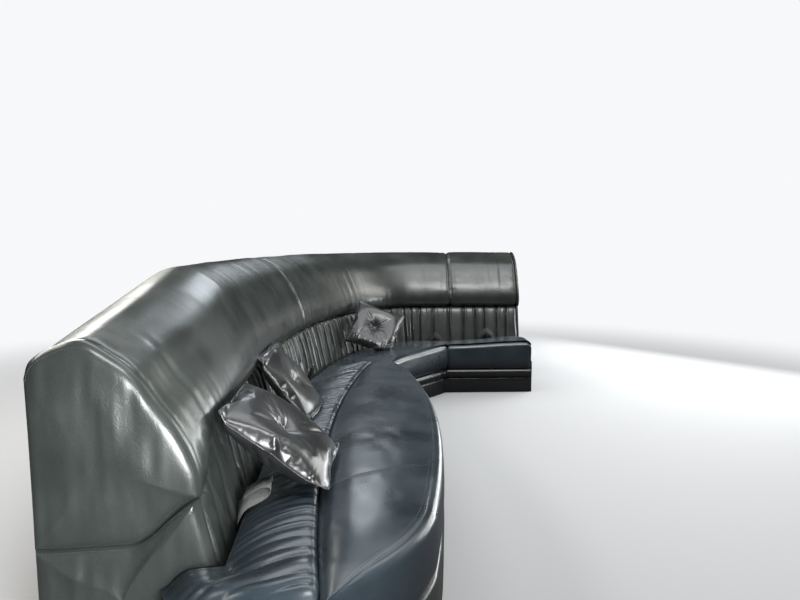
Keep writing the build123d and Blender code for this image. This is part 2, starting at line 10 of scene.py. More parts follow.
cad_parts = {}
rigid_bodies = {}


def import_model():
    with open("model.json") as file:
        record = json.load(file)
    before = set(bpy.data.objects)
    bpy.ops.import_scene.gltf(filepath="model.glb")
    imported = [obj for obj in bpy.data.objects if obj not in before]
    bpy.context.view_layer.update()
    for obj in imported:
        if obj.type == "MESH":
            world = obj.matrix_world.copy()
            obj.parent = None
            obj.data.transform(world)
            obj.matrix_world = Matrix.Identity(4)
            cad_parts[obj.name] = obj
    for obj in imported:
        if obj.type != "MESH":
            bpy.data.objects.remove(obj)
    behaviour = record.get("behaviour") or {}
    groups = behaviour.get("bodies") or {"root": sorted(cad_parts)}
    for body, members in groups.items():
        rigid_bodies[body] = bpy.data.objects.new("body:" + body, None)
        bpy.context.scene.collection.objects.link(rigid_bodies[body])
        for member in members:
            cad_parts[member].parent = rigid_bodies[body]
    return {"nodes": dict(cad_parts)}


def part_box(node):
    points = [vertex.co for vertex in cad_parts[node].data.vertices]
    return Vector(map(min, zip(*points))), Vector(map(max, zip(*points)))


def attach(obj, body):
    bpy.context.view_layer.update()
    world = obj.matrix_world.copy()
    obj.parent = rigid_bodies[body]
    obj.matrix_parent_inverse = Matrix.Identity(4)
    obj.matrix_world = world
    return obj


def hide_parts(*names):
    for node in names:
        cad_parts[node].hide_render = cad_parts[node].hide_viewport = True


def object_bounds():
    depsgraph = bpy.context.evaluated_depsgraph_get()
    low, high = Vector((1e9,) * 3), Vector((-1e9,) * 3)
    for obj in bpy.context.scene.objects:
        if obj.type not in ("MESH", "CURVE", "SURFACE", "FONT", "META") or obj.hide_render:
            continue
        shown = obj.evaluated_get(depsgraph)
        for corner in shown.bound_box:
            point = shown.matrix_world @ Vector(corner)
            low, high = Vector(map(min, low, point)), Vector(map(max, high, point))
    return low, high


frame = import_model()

cad_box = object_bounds()

# The camera stands in the aisle in front of the seat, at a sitting person's eye height,
# and looks along the side bench towards the rear bench.
PHOTO_WIDTH = 800
PHOTO_FOCAL = 580.0
AISLE_X_IN_PHOTO = 380.0
HORIZON_Y_IN_PHOTO = 240.0
PHOTO_CENTRE = (400.0, 300.0)
SENSOR = 36.0
EYE = Vector((-0.085, -2.325, 0.85))

lens = bpy.data.cameras.new("aisle_camera")
lens.sensor_width = SENSOR
lens.lens = PHOTO_FOCAL / PHOTO_WIDTH * SENSOR
camera = bpy.data.objects.new("aisle_camera", lens)
bpy.context.collection.objects.link(camera)
camera.location = EYE
yaw = (PHOTO_CENTRE[0] - AISLE_X_IN_PHOTO) / PHOTO_FOCAL
pitch = (PHOTO_CENTRE[1] - HORIZON_Y_IN_PHOTO) / PHOTO_FOCAL
camera.rotation_euler = Vector((yaw, 1.0, -pitch)).to_track_quat("-Z", "Y").to_euler()
bpy.context.scene.camera = camera

# Backrest line: the plan line where the pleated band meets the roll. The frame's back
# boards follow it: a straight along the side, three arcs round the corner, a straight rear.
START_HEADING = math.radians(-3.5)
END_RETURN = 0.220
BACK_FACE = 0.282
END_BOARD = 0.012
CORNER_ARCS = ((1.0, math.radians(14.0)), (0.62, math.radians(20.0)), (0.47, math.radians(59.5)))
SIDE_SEAM = 1.5
CORNER_SEAM_FROM_END = 0.415
LOW, HIGH = cad_box


def arc_step(length, turn, heading):
    radius = length / turn
    dx = radius * (math.cos(heading) - math.cos(heading + turn))
    dy = radius * (math.sin(heading + turn) - math.sin(heading))
    return dx, dy


def lay_out_line():
    """Runs of the backrest line: start x, y, heading, start length, length, turn."""
    corner = [0.0, 0.0]
    heading = START_HEADING
    for length, turn in CORNER_ARCS:
        dx, dy = arc_step(length, turn, heading)
        corner = [corner[0] + dx, corner[1] + dy]
        heading += turn
    y = LOW.y + END_RETURN
    side_run = (HIGH.y - BACK_FACE - y - corner[1]) / math.cos(START_HEADING)
    radius = CORNER_ARCS[0][0] / CORNER_ARCS[0][1]
    x = LOW.x + BACK_FACE + side_run * math.sin(-START_HEADING) + radius * (1 - math.cos(START_HEADING))
    runs = []
    heading = START_HEADING
    start = 0.0
    rear_run = HIGH.x - END_BOARD - (x + side_run * math.sin(heading) + corner[0])
    for length, turn in ((side_run, 0.0), *CORNER_ARCS, (rear_run, 0.0)):
        runs.append((x, y, heading, start, length, turn))
        if turn:
            dx, dy = arc_step(length, turn, heading)
        else:
            dx, dy = length * math.sin(heading), length * math.cos(heading)
        x, y, heading, start = x + dx, y + dy, heading + turn, start + length
    return runs, start


RUNS, S_END = lay_out_line()
S_FULL = RUNS[1][3]
S_SEAM = SIDE_SEAM
S_REAR = S_END - CORNER_SEAM_FROM_END


def along(s):
    """Plan point and heading at lengths s of the backrest line."""
    s = np.asarray(s, float)
    x = np.zeros_like(s)
    y = np.zeros_like(s)
    h = np.zeros_like(s)
    for i, (x0, y0, h0, start, length, turn) in enumerate(RUNS):
        here = np.ones_like(s, bool)
        if i > 0:
            here &= s >= start
        if i < len(RUNS) - 1:
            here &= s < start + length
        t = s[here] - start
        if turn:
            radius = length / turn
            angle = h0 + t / radius
            x[here] = x0 + radius * (math.cos(h0) - np.cos(angle))
            y[here] = y0 + radius * (np.sin(angle) - math.sin(h0))
            h[here] = angle
        else:
            x[here] = x0 + t * math.sin(h0)
            y[here] = y0 + t * math.cos(h0)
            h[here] = h0
    return x, y, h


def on_backrest(s, n, z):
    """Points at length s, n towards the cabin and height z: numbers or arrays."""
    s, n, z = np.broadcast_arrays(*(np.asarray(a, float) for a in (s, n, z)))
    x, y, h = along(s)
    return np.stack([x + n * np.cos(h), y - n * np.sin(h), z], -1)


def at_height(flat, z):
    """Plan points lifted to one height, or to one each."""
    return np.concatenate([flat, np.broadcast_to(np.reshape(z, (-1, 1)), (len(flat), 1))], 1)


def unit(rows):
    """The same vectors at length one."""
    return rows / np.maximum(np.linalg.norm(rows, axis=-1, keepdims=True), 1e-12)


def smooth(t):
    t = np.clip(t, 0.0, 1.0)
    return t * t * (3 - 2 * t)


def ripple(u, v, seed, reach=64):
    """Smooth repeatable unevenness from -1 to 1, one bump for each unit of u and v."""
    lattice = np.random.default_rng(seed).uniform(-1, 1, (reach, reach))
    u = np.asarray(u, float)
    v = np.asarray(v, float)
    iu = np.floor(u).astype(int)
    iv = np.floor(v).astype(int)
    fu = smooth(u - iu)
    fv = smooth(v - iv)
    a = lattice[iu % reach, iv % reach]
    b = lattice[(iu + 1) % reach, iv % reach]
    c = lattice[iu % reach, (iv + 1) % reach]
    d = lattice[(iu + 1) % reach, (iv + 1) % reach]
    return (a * (1 - fu) + b * fu) * (1 - fv) + (c * (1 - fu) + d * fu) * fv


def curve_through(knots, steps):
    """Catmull-Rom curves through knots (..., m, 2) with steps samples in each span."""
    padded = np.concatenate([2 * knots[..., :1, :] - knots[..., 1:2, :], knots,
                             2 * knots[..., -1:, :] - knots[..., -2:-1, :]], -2)
    rows = []
    for i, count in enumerate(steps):
        a, b, c, d = (padded[..., i + k, :][..., None, :] for k in range(4))
        t = (np.arange(count) / count)[:, None]
        rows.append(0.5 * (2 * b + (c - a) * t + (2 * a - 5 * b + 4 * c - d) * t ** 2
                           + (3 * b - a - 3 * c + d) * t ** 3))
    rows.append(knots[..., -1:, :])
    return np.concatenate(rows, -2)


def facing(grid):
    """Unit normals of a grid of points."""
    return unit(np.cross(np.gradient(grid, axis=0), np.gradient(grid, axis=1)))


def new_piece(name, points, faces, material, smooth_angle=50.0):
    """A mesh piece with its faces outwards, riding on the seat's one body."""
    mesh = bpy.data.meshes.new(name)
    mesh.from_pydata([tuple(p) for p in points], [], faces)
    bm = bmesh.new()
    bm.from_mesh(mesh)
    bmesh.ops.remove_doubles(bm, verts=bm.verts, dist=1e-6)
    bmesh.ops.dissolve_degenerate(bm, edges=bm.edges, dist=1e-7)
    bmesh.ops.recalc_face_normals(bm, faces=bm.faces)
    if bm.calc_volume(signed=True) < 0:
        bmesh.ops.reverse_faces(bm, faces=bm.faces)
    limit = math.radians(smooth_angle)
    for edge in bm.edges:
        edge.smooth = len(edge.link_faces) == 2 and edge.calc_face_angle(0.0) < limit
    for face in bm.faces:
        face.smooth = True
    bm.to_mesh(mesh)
    bm.free()
    piece = bpy.data.objects.new(name, mesh)
    bpy.context.collection.objects.link(piece)
    mesh.materials.append(material)
    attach(piece, "root")
    return piece


def ring_faces(count, around):
    """Faces of a tube of count rings with around points each, closed at both ends."""
    faces = []
    for i in range(count - 1):
        for j in range(around):
            k = (j + 1) % around
            faces.append((i * around + j, i * around + k, (i + 1) * around + k, (i + 1) * around + j))
    faces.append(tuple(range(around))[::-1])
    faces.append(tuple((count - 1) * around + j for j in range(around)))
    return faces


def slab(top, floor):
    """Points and faces of a closed pad: a top grid, its sides dropped to a floor height."""
    nu, nv = top.shape[:2]
    index = np.arange(nu * nv).reshape(nu, nv)
    rim = np.concatenate([index[:, 0], index[-1, 1:], index[-2::-1, -1], index[0, -2:0:-1]])
    points = top.reshape(-1, 3)
    foot = points[rim].copy()
    foot[:, 2] = floor
    faces = [(index[i, j], index[i + 1, j], index[i + 1, j + 1], index[i, j + 1])
             for i in range(nu - 1) for j in range(nv - 1)]
    base = nu * nv
    n = len(rim)
    faces += [(rim[i], base + i, base + (i + 1) % n, rim[(i + 1) % n]) for i in range(n)]
    near = [base + i for i in range(nu)]
    far = [base + 2 * nu + nv - 3 - i for i in range(nu)]
    first_end = [base + n - k for k in range(1, nv - 1)]
    last_end = [base + nu + k for k in range(nv - 2)]
    for i in range(nu - 1):
        start = first_end if i == 0 else []
        end = last_end[::-1] if i == nu - 2 else []
        faces.append((near[i], *start, far[i], far[i + 1], *end, near[i + 1]))
    return np.concatenate([points, foot]), faces


def ring_piece(name, rings, material, smooth_angle=50.0):
    """A piece skinned over rings of points and closed at both ends."""
    rings = np.asarray(rings)
    return new_piece(name, rings.reshape(-1, 3), ring_faces(*rings.shape[:2]), material, smooth_angle)


# Seat leather: thin black hide with a satin finish, finely pebbled, with soft creases where
# it is slack and fine pale scratches on the seat. Its colour is painted darker in the pebbles'
# grooves (painted shade). A patchy dust bloom is laid on more on what faces up, which is a
# painted sheen of the light from above.
HIDE_INPUTS = (
    # name, kind, usual value
    ("Hide Colour", "Color", (0.02, 0.02, 0.02, 1)), ("Bloom Colour", "Color", (0.08, 0.09, 0.09, 1)),
    ("Bloom", "Float", 0.4), ("Pebble Size", "Float", 0.0014), ("Pebble Depth", "Float", 0.2),
    ("Crease Depth", "Float", 0.3), ("Scratches", "Float", 0.0),
    ("Roughness Low", "Float", 0.3), ("Roughness High", "Float", 0.5),
)
HIDE_OUTPUTS = (("Colour", "Color"), ("Roughness", "Float"), ("Normal", "Vector"))
PEBBLE_DRIFT = 0.0009
PEBBLE_BUMP = 0.0004
CREASE_BUMP = 0.0012
CREASE_WIDE = 0.05
SCRATCH_WAY = 0.35
SCRATCH_STRETCH = (420.0, 70.0, 420.0)


def feed(node, feeds):
    """Gives a node its inputs, each a value or another node's output."""
    for key, value in feeds.items():
        if isinstance(value, bpy.types.NodeSocket):
            node.id_data.links.new(value, node.inputs[key])
        else:
            node.inputs[key].default_value = value
    return node


def add_node(tree, kind, feeds=None, **settings):
    """A new node of a tree, with its settings and its inputs."""
    node = tree.nodes.new(kind)
    node.location = (180 * len(tree.nodes), 0)
    for key, value in settings.items():
        setattr(node, key, value)
    return feed(node, feeds or {})


def shade(tree, kind, feeds=None, out=0, **settings):
    """One output of a new shader node."""
    return add_node(tree, "ShaderNode" + kind, feeds, **settings).outputs[out]


def compute(tree, operation, *values):
    """The result of a sum on masks and numbers."""
    return shade(tree, "Math", dict(enumerate(values)), operation=operation)


def spread(tree, value, start, end, low=0.0, high=1.0, soft=False):
    """A mask spread from the range start to end over the range low to high."""
    feeds = {"Value": value, "From Min": start, "From Max": end, "To Min": low, "To Max": high}
    return shade(tree, "MapRange", feeds, interpolation_type="SMOOTHSTEP" if soft else "LINEAR")


def blend(tree, factor, a, b, **settings):
    """A mix of two colours or vectors."""
    return shade(tree, "Mix", {"Factor": factor, "A": a, "B": b}, "Result", **{"data_type": "RGBA", **settings})


def bumped(tree, height, strength, distance, normal=None, **settings):
    """The normal over a height mask."""
    feeds = {"Height": height, "Strength": strength, "Distance": distance}
    if normal is not None:
        feeds["Normal"] = normal
    return shade(tree, "Bump", feeds, **settings)


def between(tree, factor, *stops):
    """A colour ramp between two stops, each a place and a colour."""
    node = add_node(tree, "ShaderNodeValToRGB", {"Fac": factor})
    for element, (at, colour) in zip(node.color_ramp.elements, stops):
        element.position, element.color = at, (*colour, 1)
    return node.outputs[0]


def new_material(name):
    """A material, its node tree and its shader."""
    material = bpy.data.materials.new(name)
    material.use_nodes = True
    tree = material.node_tree
    return material, tree, tree.nodes["Principled BSDF"]


def own_place(tree):
    """The object's own coordinates."""
    return shade(tree, "TexCoord", out="Object")


def noise(tree, place, scale, detail=2.0, distortion=0.0):
    """A noise mask over a set of coordinates."""
    return shade(tree, "TexNoise",
                 {"Vector": place, "Scale": scale, "Detail": detail, "Distortion": distortion})


def new_group(name, kind, inputs, outputs):
    """A node group, its inputs and its output node."""
    tree = bpy.data.node_groups.new(name, kind)
    for way, sockets in (("INPUT", inputs), ("OUTPUT", outputs)):
        for label, socket_kind, *usual in sockets:
            socket = tree.interface.new_socket(name=label, in_out=way, socket_type="NodeSocket" + socket_kind)
            for key, value in zip(("default_value", "min_value", "max_value"), usual):
                setattr(socket, key, value)
    return tree, add_node(tree, "NodeGroupInput").outputs, add_node(tree, "NodeGroupOutput")


def build_leather_group():
    """The hide surface in the object's own space: pebble with painted shade in its grooves, creases, dust bloom
    with a painted sheen on what faces up, and scratches.
    """
    tree, given, out = new_group("hide_surface", "ShaderNodeTree", HIDE_INPUTS, HIDE_OUTPUTS)
    place = own_place(tree)

    drift = shade(tree, "TexNoise", {"Vector": place, "Scale": 90.0}, "Color")
    shift = shade(tree, "VectorMath", {0: drift, 1: (PEBBLE_DRIFT,) * 3, 2: place}, operation="MULTIPLY_ADD")
    per_metre = compute(tree, "DIVIDE", 1.0, given["Pebble Size"])
    pebble = shade(tree, "TexVoronoi", {"Vector": shift, "Scale": per_metre}, "Distance", feature="SMOOTH_F1")

    crease = noise(tree, place, 42.0, 4.0, 0.6)
    valley = compute(tree, "ABSOLUTE", compute(tree, "SUBTRACT", crease, 0.5))
    line = spread(tree, valley, 0.0, CREASE_WIDE, soft=True)

    cloud = shade(tree, "TexNoise", {"Vector": place, "Scale": 7.0, "Detail": 2.5, "Roughness": 0.5})
    patch = spread(tree, cloud, 0.15, 0.95)

    stretch = shade(tree, "Mapping",
                    {"Vector": place, "Rotation": (0.0, 0.0, SCRATCH_WAY), "Scale": SCRATCH_STRETCH})
    mark = noise(tree, stretch, 1.0, 3.0, 1.2)
    scratch = compute(tree, "MULTIPLY", spread(tree, mark, 0.58, 0.76, soft=True), given["Scratches"])

    # Painted sheen: the bloom colour is laid on more where the surface faces up, as a painted reflection of the
    # light from above, over patchy dust.
    up = shade(tree, "SeparateXYZ", {0: shade(tree, "NewGeometry", out="Normal")}, "Z")
    dust_and_sheen = compute(tree, "MULTIPLY", spread(tree, up, -0.2, 1.0, 0.35, 1.0, soft=True), patch)
    bloom = compute(tree, "MULTIPLY_ADD", dust_and_sheen, given["Bloom"], scratch)
    tint = blend(tree, shade(tree, "Clamp", {0: bloom}), given["Hide Colour"], given["Bloom Colour"])
    # Painted shade: the colour is darkened into the grooves between the pebbles.
    deep = blend(tree, 1.0, tint, spread(tree, pebble, 0.0, 0.75, 1.0, 0.55), blend_type="MULTIPLY")
    gloss = spread(tree, cloud, 0.3, 0.7, given["Roughness Low"], given["Roughness High"])
    coarse = bumped(tree, line, given["Crease Depth"], CREASE_BUMP)
    fine = bumped(tree, pebble, given["Pebble Depth"], PEBBLE_BUMP, coarse, invert=True)
    feed(out, {"Colour": deep, "Roughness": gloss, "Normal": fine})
    return tree


HIDE = build_leather_group()


def hide_material(name, colour, sheen_and_bloom_colour, **values):
    """A leather: the shared hide surface with this piece's own colours and values."""
    material, tree, shader = new_material(name)
    surface = add_node(tree, "ShaderNodeGroup", node_tree=HIDE)
    feed(surface, {"Hide Colour": (*colour, 1), "Bloom Colour": (*sheen_and_bloom_colour, 1)})
    feed(surface, {key.replace("_", " ").title(): value for key, value in values.items()})
    feed(shader, {"Base Color": surface.outputs["Colour"], "Roughness": surface.outputs["Roughness"],
                  "Normal": surface.outputs["Normal"], "Specular IOR Level": 0.55,
                  "Coat Weight": 0.35, "Coat Roughness": 0.22})
    return material


# Painted sheen: both are the same black hide. The backrest's is tinted grey-green and the seat's blue, with a
# brighter bloom, as painted reflections of the cool light that falls on each.
backrest_leather = hide_material("backrest_leather", (0.024, 0.028, 0.026), (0.100, 0.118, 0.106), bloom=0.50,
                                 crease_depth=0.09, pebble_depth=0.14, roughness_low=0.28, roughness_high=0.42)
seat_leather = hide_material("seat_leather", (0.017, 0.024, 0.031), (0.095, 0.135, 0.170),
                             bloom=0.50, scratches=0.30, crease_depth=0.02, pebble_depth=0.12,
                             roughness_low=0.24, roughness_high=0.40)

# Backrest rolls: thick foam wrapped in leather. The leather is folded over the back board's
# top and stapled behind it, and the rolls meet at plain sewn seams that pull in a little.
CREST_REAR = HIGH.z
CREST_NEAR = HIGH.z - 0.100
BAND_TOP = 0.450
WING_DROP = 0.090
WING_RUN = 0.200
BOARD_FRONT = -0.2697
BOARD_TOP = 0.6005
FLAP_OUT = -0.2848
FLAP_IN = -0.2824
FLAP_END = 0.548
ROLL_FRONT = (
    # out and up from the lower seam at the near end, then from the first bend onwards
    (-0.034, -0.004, -0.034, -0.004), (-0.016, -0.004, -0.012, -0.003), (-0.004, 0.010, 0.012, 0.012),
    (-0.004, 0.045, 0.019, 0.052), (-0.030, 0.092, 0.006, 0.108), (-0.066, 0.130, -0.024, 0.172),
)
ROLL_TOP = (
    # out from the line and down from the crest, in the same two places
    (-0.098, 0.060, -0.068, 0.072), (-0.136, 0.028, -0.122, 0.026), (-0.185, 0.000, -0.185, 0.000),
    (-0.238, 0.012, -0.238, 0.008), (-0.274, 0.036, -0.275, 0.032), (FLAP_OUT, 0.064, FLAP_OUT, 0.074),
)
PROFILE_STEPS = (3, 5, 8, 10, 12, 12, 10, 10, 8, 6, 5)
FRONT_RISE = 0.172
SEAM_DEPTH = 0.0075
SEAM_REACH = 0.009
SEAM_DRAW = 0.0035
DRAW_REACH = 0.035
SAG = 0.0020
SAG_PITCH = 0.16
DRAG = 0.0015
DRAG_PITCH = 0.021
FOOT_GATHER = 0.0016
GATHER_PITCH = 0.017
SEAM_CRUMPLE = 0.0013
CRUMPLE_REACH = 0.05
SHELL_PITCH = 0.005
SEAM_GAP = 0.0002


def crest_height(s):
    """Height of the backrest's top: it rises from the near end until the corner."""
    return CREST_NEAR + (CREST_REAR - CREST_NEAR) * np.clip(s / S_FULL, 0, 1)


def roll_foot(s):
    """Height of the roll's lower seam: it drops to the seat at the near end."""
    return BAND_TOP - WING_DROP * (1 - smooth(s / WING_RUN))


def band_face(z):
    """How far the pleated band's face stands out at a height."""
    return -0.006 + 0.060 * (BAND_TOP - z) / (BAND_TOP - 0.175)


def profile_knots(s):
    """The roll's outline as (n, z) knots, from the lower seam over the crest to the back."""
    full = smooth(s / S_FULL)
    foot = roll_foot(s)
    rows = []
    for near_n, near_up, far_n, far_up in ROLL_FRONT:
        rise = near_up + (far_up - near_up) * full
        share = np.clip(rise / FRONT_RISE, 0, 1)
        z = foot + rise + (BAND_TOP - foot) * share
        n = near_n + (far_n - near_n) * full + (band_face(foot) - band_face(BAND_TOP)) * (1 - share)
        rows.append(np.stack([n, z], -1))
    for near_n, near_down, far_n, far_down in ROLL_TOP:
        n = near_n + (far_n - near_n) * full
        z = crest_height(s) - near_down - (far_down - near_down) * full
        rows.append(np.stack([n, z], -1))
    return np.stack(rows, -2)


def roll_surface(s0, s1, seed):
    """Rings of one roll: its front from the lower seam over the crest, then its back."""
    count = int((s1 - s0) / SHELL_PITCH) + 1
    s = np.linspace(s0, s1, count)
    shape = curve_through(profile_knots(s), PROFILE_STEPS)
    up = np.linspace(0, 1, shape.shape[1])[None, :] + 0 * s[:, None]
    side = s[:, None] + 0 * up
    grid = on_backrest(side, shape[..., 0], shape[..., 1])
    out = facing(grid)
    out = out * np.sign(np.mean(out[..., 2]))
    to_seam = np.minimum(side - s0, s1 - side)
    lift = -SEAM_DEPTH * np.exp(-(to_seam / SEAM_REACH) ** 2) - SEAM_DRAW * np.exp(-to_seam / DRAW_REACH)
    slack = smooth((up - 0.02) / 0.1) * (1 - smooth((up - 0.80) / 0.15))
    lift += SAG * ripple(side / SAG_PITCH, up * 4, seed) * slack
    drag = ripple(side / DRAG_PITCH, up * 3.2 + side / 0.3, seed + 1) * ripple(side / 0.11, up * 2.2, seed + 2)
    lift += DRAG * drag * slack
    gather = np.exp(-np.clip(up - 0.05, 0, 1) / 0.10)
    lift += FOOT_GATHER * gather * ripple(side / GATHER_PITCH, up * 2, seed + 3)
    near_seam = np.exp(-to_seam / CRUMPLE_REACH)
    lift += SEAM_CRUMPLE * near_seam * ripple(side / 0.05, up * 26, seed + 4) * slack
    grid = grid + out * lift[..., None]
    rows = [on_backrest(s, n, z) for n, z in (
        (FLAP_OUT, BOARD_TOP - 0.01), (FLAP_OUT, FLAP_END), (FLAP_IN, FLAP_END),
        (FLAP_IN, BOARD_TOP), (BOARD_FRONT, BOARD_TOP), (BOARD_FRONT, 0.52))]
    rows.append(on_backrest(s, BOARD_FRONT, roll_foot(s) - 0.004))
    return np.concatenate([grid, np.stack(rows, 1)], 1)


ROLLS = (
    # name, start, end, unevenness
    ("side", 0.0, S_SEAM, 11),
    ("corner", S_SEAM, S_REAR, 23),
    ("rear", S_REAR, S_END, 37),
)
for name, s0, s1, seed in ROLLS:
    rings = roll_surface(s0 + SEAM_GAP, s1 - SEAM_GAP, seed)
    piece = ring_piece("roll_" + name + "_cover", rings, backrest_leather)
    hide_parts("roll_" + name)

# Pleated bands: leather folded into upright pleats and sewn under the rolls, deep and wide
# behind the rear bench, slack and finely gathered along the side. Foam on a plywood board.
DECK_TOP = 0.175
PAD_FOOT = DECK_TOP + 0.0005
BAND_BACK = -0.0597
BAND_ROWS = 44
BAND_PITCH = 0.0028
PLEAT_WIDTHS = (0.044, 0.092)
LEAST_PLEAT = 0.03
PLEAT_WANDER = 0.006
PLEAT_LEAN = 0.72
TUCK_AT = 0.010
TUCK_WIDE = 0.0045
TUCK_SHARE = 0.28
BAND_SET_BACK = 0.006
BAND_TUCKS = (
    # how far the band draws in under the roll, over what depth
    (0.009, 0.030), (0.012, 0.007),
)
BAND_FOOT_DRAW = 0.010
BAND_FOOT_FROM = 0.21
BAND_FOOT_REACH = 0.035
REAR_PLEAT_ENDS = (0.104, 0.1815, 0.281, 0.359, 0.4265, 0.495, 0.555, 0.632, 0.687, 0.765)
BANDS = (
    # name, start, end, pleat depth, squareness, gather depth, seed
    ("side", 0.0, S_SEAM, 0.0070, 3.2, 0.0022, 5),
    ("corner", S_SEAM, S_REAR, 0.0095, 3.6, 0.0016, 6),
    ("rear", S_REAR, S_END, 0.0130, 5.5, 0.0008, 7),
)


def pleat_edges(s0, s1, seed):
    """Lengths along the line at which one pleat folds over the next."""
    widths = np.random.default_rng(seed).uniform(*PLEAT_WIDTHS, 80)
    edges = s0 + np.cumsum(widths)
    return np.concatenate([[s0], edges[edges < s1 - LEAST_PLEAT], [s1]])


def rear_pleats(s0, s1):
    """The same lengths behind the rear bench, as the photo shows them."""
    edges = [S_END - (HIGH.x - END_BOARD - x) for x in REAR_PLEAT_ENDS]
    return np.array([s0] + [e for e in edges if s0 + LEAST_PLEAT < e < s1 - LEAST_PLEAT] + [s1])


def pleat_relief(s, z, edges, depth, square, gather, seed):
    """How far the pleats stand out: each rises from its fold and leans over the next one."""
    wander = PLEAT_WANDER * ripple(s / 0.09, z / 0.12, seed + 40)
    at = np.clip(s + wander, edges[0] + 1e-6, edges[-1] - 1e-6)
    i = np.clip(np.searchsorted(edges, at, side="right") - 1, 0, len(edges) - 2)
    width = edges[i + 1] - edges[i]
    t = (at - edges[i]) / width
    lean = t ** PLEAT_LEAN
    hump = 1 - np.abs(2 * lean - 1) ** square
    tuck = np.exp(-((t * width - TUCK_AT) / TUCK_WIDE) ** 2)
    lift = depth * hump + depth * TUCK_SHARE * tuck * (ripple(i * 1.7, z / 0.2, seed + 50) > -0.2)
    top = np.exp(-(BAND_TOP - z) / 0.055)
    bottom = np.exp(-(z - DECK_TOP - 0.05) / 0.04)
    fine = ripple(s / 0.0105 + 2 * ripple(s / 0.2, z / 0.1, seed + 60), z / 0.11, seed + 70)
    lift += gather * fine * (0.30 + top + 0.5 * np.clip(bottom, 0, 1))
    return lift


for name, s0, s1, depth, square, gather, seed in BANDS:
    edges = rear_pleats(s0, s1) if name == "rear" else pleat_edges(s0, s1, seed)
    s = np.linspace(s0 + SEAM_GAP, s1 - SEAM_GAP, int((s1 - s0) / BAND_PITCH) + 1)
    head = np.minimum(roll_foot(s), BAND_TOP) - 0.004
    z = head[:, None] + (PAD_FOOT - head[:, None]) * np.linspace(0, 1, BAND_ROWS)
    below = head[:, None] - z
    side = s[:, None] + 0 * z
    n = band_face(z) + pleat_relief(side, z, edges, depth, square, gather, seed) - BAND_SET_BACK
    for draw, reach in BAND_TUCKS:
        n = n - draw * np.exp(-below / reach)
    n = n - BAND_FOOT_DRAW * smooth((BAND_FOOT_FROM - z) / BAND_FOOT_REACH)
    back = np.stack([on_backrest(s, BAND_BACK, PAD_FOOT), on_backrest(s, BAND_BACK, head)], 1)
    rings = np.concatenate([on_backrest(side, n, z), back], 1)
    piece = ring_piece("pleats_" + name, rings, backrest_leather, 70)
    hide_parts("pleated_band_" + name)

# Wing panels: the near end of the backrest is a board padded and covered in two pieces of
# smooth leather, sewn together across and sewn to the roll along its outline.
WING_OUT = -0.0280
WING_BULGE = 0.011
WING_RINGS = 30
WING_STITCH_RING = 5
WING_FLOOR = 0.001
WING_PUFF_REACH = 0.008
WING_SWELL_REACH = 0.11
WING_WAVES = (
    # depth, pitch out from the line, pitch up, step of the seed
    (0.0022, 0.055, 0.09, 0), (0.0012, 0.016, 0.075, 5),
)
WING_SEAM = (0.285, 0.088, -0.120, 0.140)


def wing_seam(n):
    """Height of the sewn line across the wing: it rises towards the front."""
    low, rise, start, run = WING_SEAM
    return low + rise * smooth((n - start) / run)


def wing_outline(upper):
    """Closed outline of one wing panel as (n, z) points."""
    roll = curve_through(profile_knots(np.array([0.0])), PROFILE_STEPS)[0]
    foot = float(roll_foot(0.0))
    front_n = float(band_face(foot)) - 0.004
    across = np.linspace(FLAP_OUT, front_n, 60)
    seam = np.stack([across, wing_seam(across)], -1)
    if upper:
        start = roll[roll[:, 1] > foot][3:]
        back = np.linspace((FLAP_OUT, start[-1, 1]), (FLAP_OUT, seam[0, 1]), 30)
        front = np.linspace(seam[-1], start[0], 5)
        return np.concatenate([start, back[1:], seam[1:], front[1:-1]])
    z = np.linspace(seam[-1, 1], DECK_TOP, 20)
    front = np.stack([band_face(z) - 0.004, z], -1)
    foot_n = front[-1, 0]
    edge = np.linspace((foot_n, DECK_TOP), (foot_n, WING_FLOOR), 16)
    base = np.linspace((foot_n, WING_FLOOR), (FLAP_OUT, WING_FLOOR), 30)
    back = np.linspace((FLAP_OUT, WING_FLOOR), (FLAP_OUT, seam[0, 1]), 30)
    return np.concatenate([seam, front[1:], edge[1:], base[1:], back[1:-1]])


for name, upper, seed in (("upper", True, 61), ("lower", False, 62)):
    loop = wing_outline(upper)
    centre = np.array(((loop[:, 0].min() + loop[:, 0].max()) / 2 - 0.01,
                       (loop[:, 1].min() + loop[:, 1].max()) / 2 - (0.03 if upper else 0.0)))
    rings = [on_backrest(-0.0003, loop[:, 0], loop[:, 1])]
    for k in range(WING_RINGS):
        r = 1 - (k / WING_RINGS) ** 1.5
        flat = centre + (loop - centre) * r
        inside = np.linalg.norm(flat - loop, axis=1)
        puff = 1 - np.exp(-inside / WING_PUFF_REACH)
        swell = smooth(inside / WING_SWELL_REACH)
        out = -END_BOARD - 0.002 + (WING_OUT + END_BOARD) * puff - WING_BULGE * swell
        for depth, pitch_out, pitch_up, step in WING_WAVES:
            out = out - depth * puff * ripple(flat[:, 0] / pitch_out, flat[:, 1] / pitch_up, seed + step)
        rings.append(on_backrest(out, flat[:, 0], flat[:, 1]))
    sewn = rings[WING_STITCH_RING] - np.array((0.0, 0.0004, 0.0))
    if upper:
        on_roll = len(loop) - 91
        wing_rows = {"roll": sewn[:on_roll], "cross": sewn[on_roll + 30:on_roll + 86]}
    else:
        wing_rows["cross_low"] = sewn[2:58]
    piece = ring_piece("wing_" + name, rings, backrest_leather)
    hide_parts("wing_panel_" + name)
    if upper:
        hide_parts("end_panel_near")

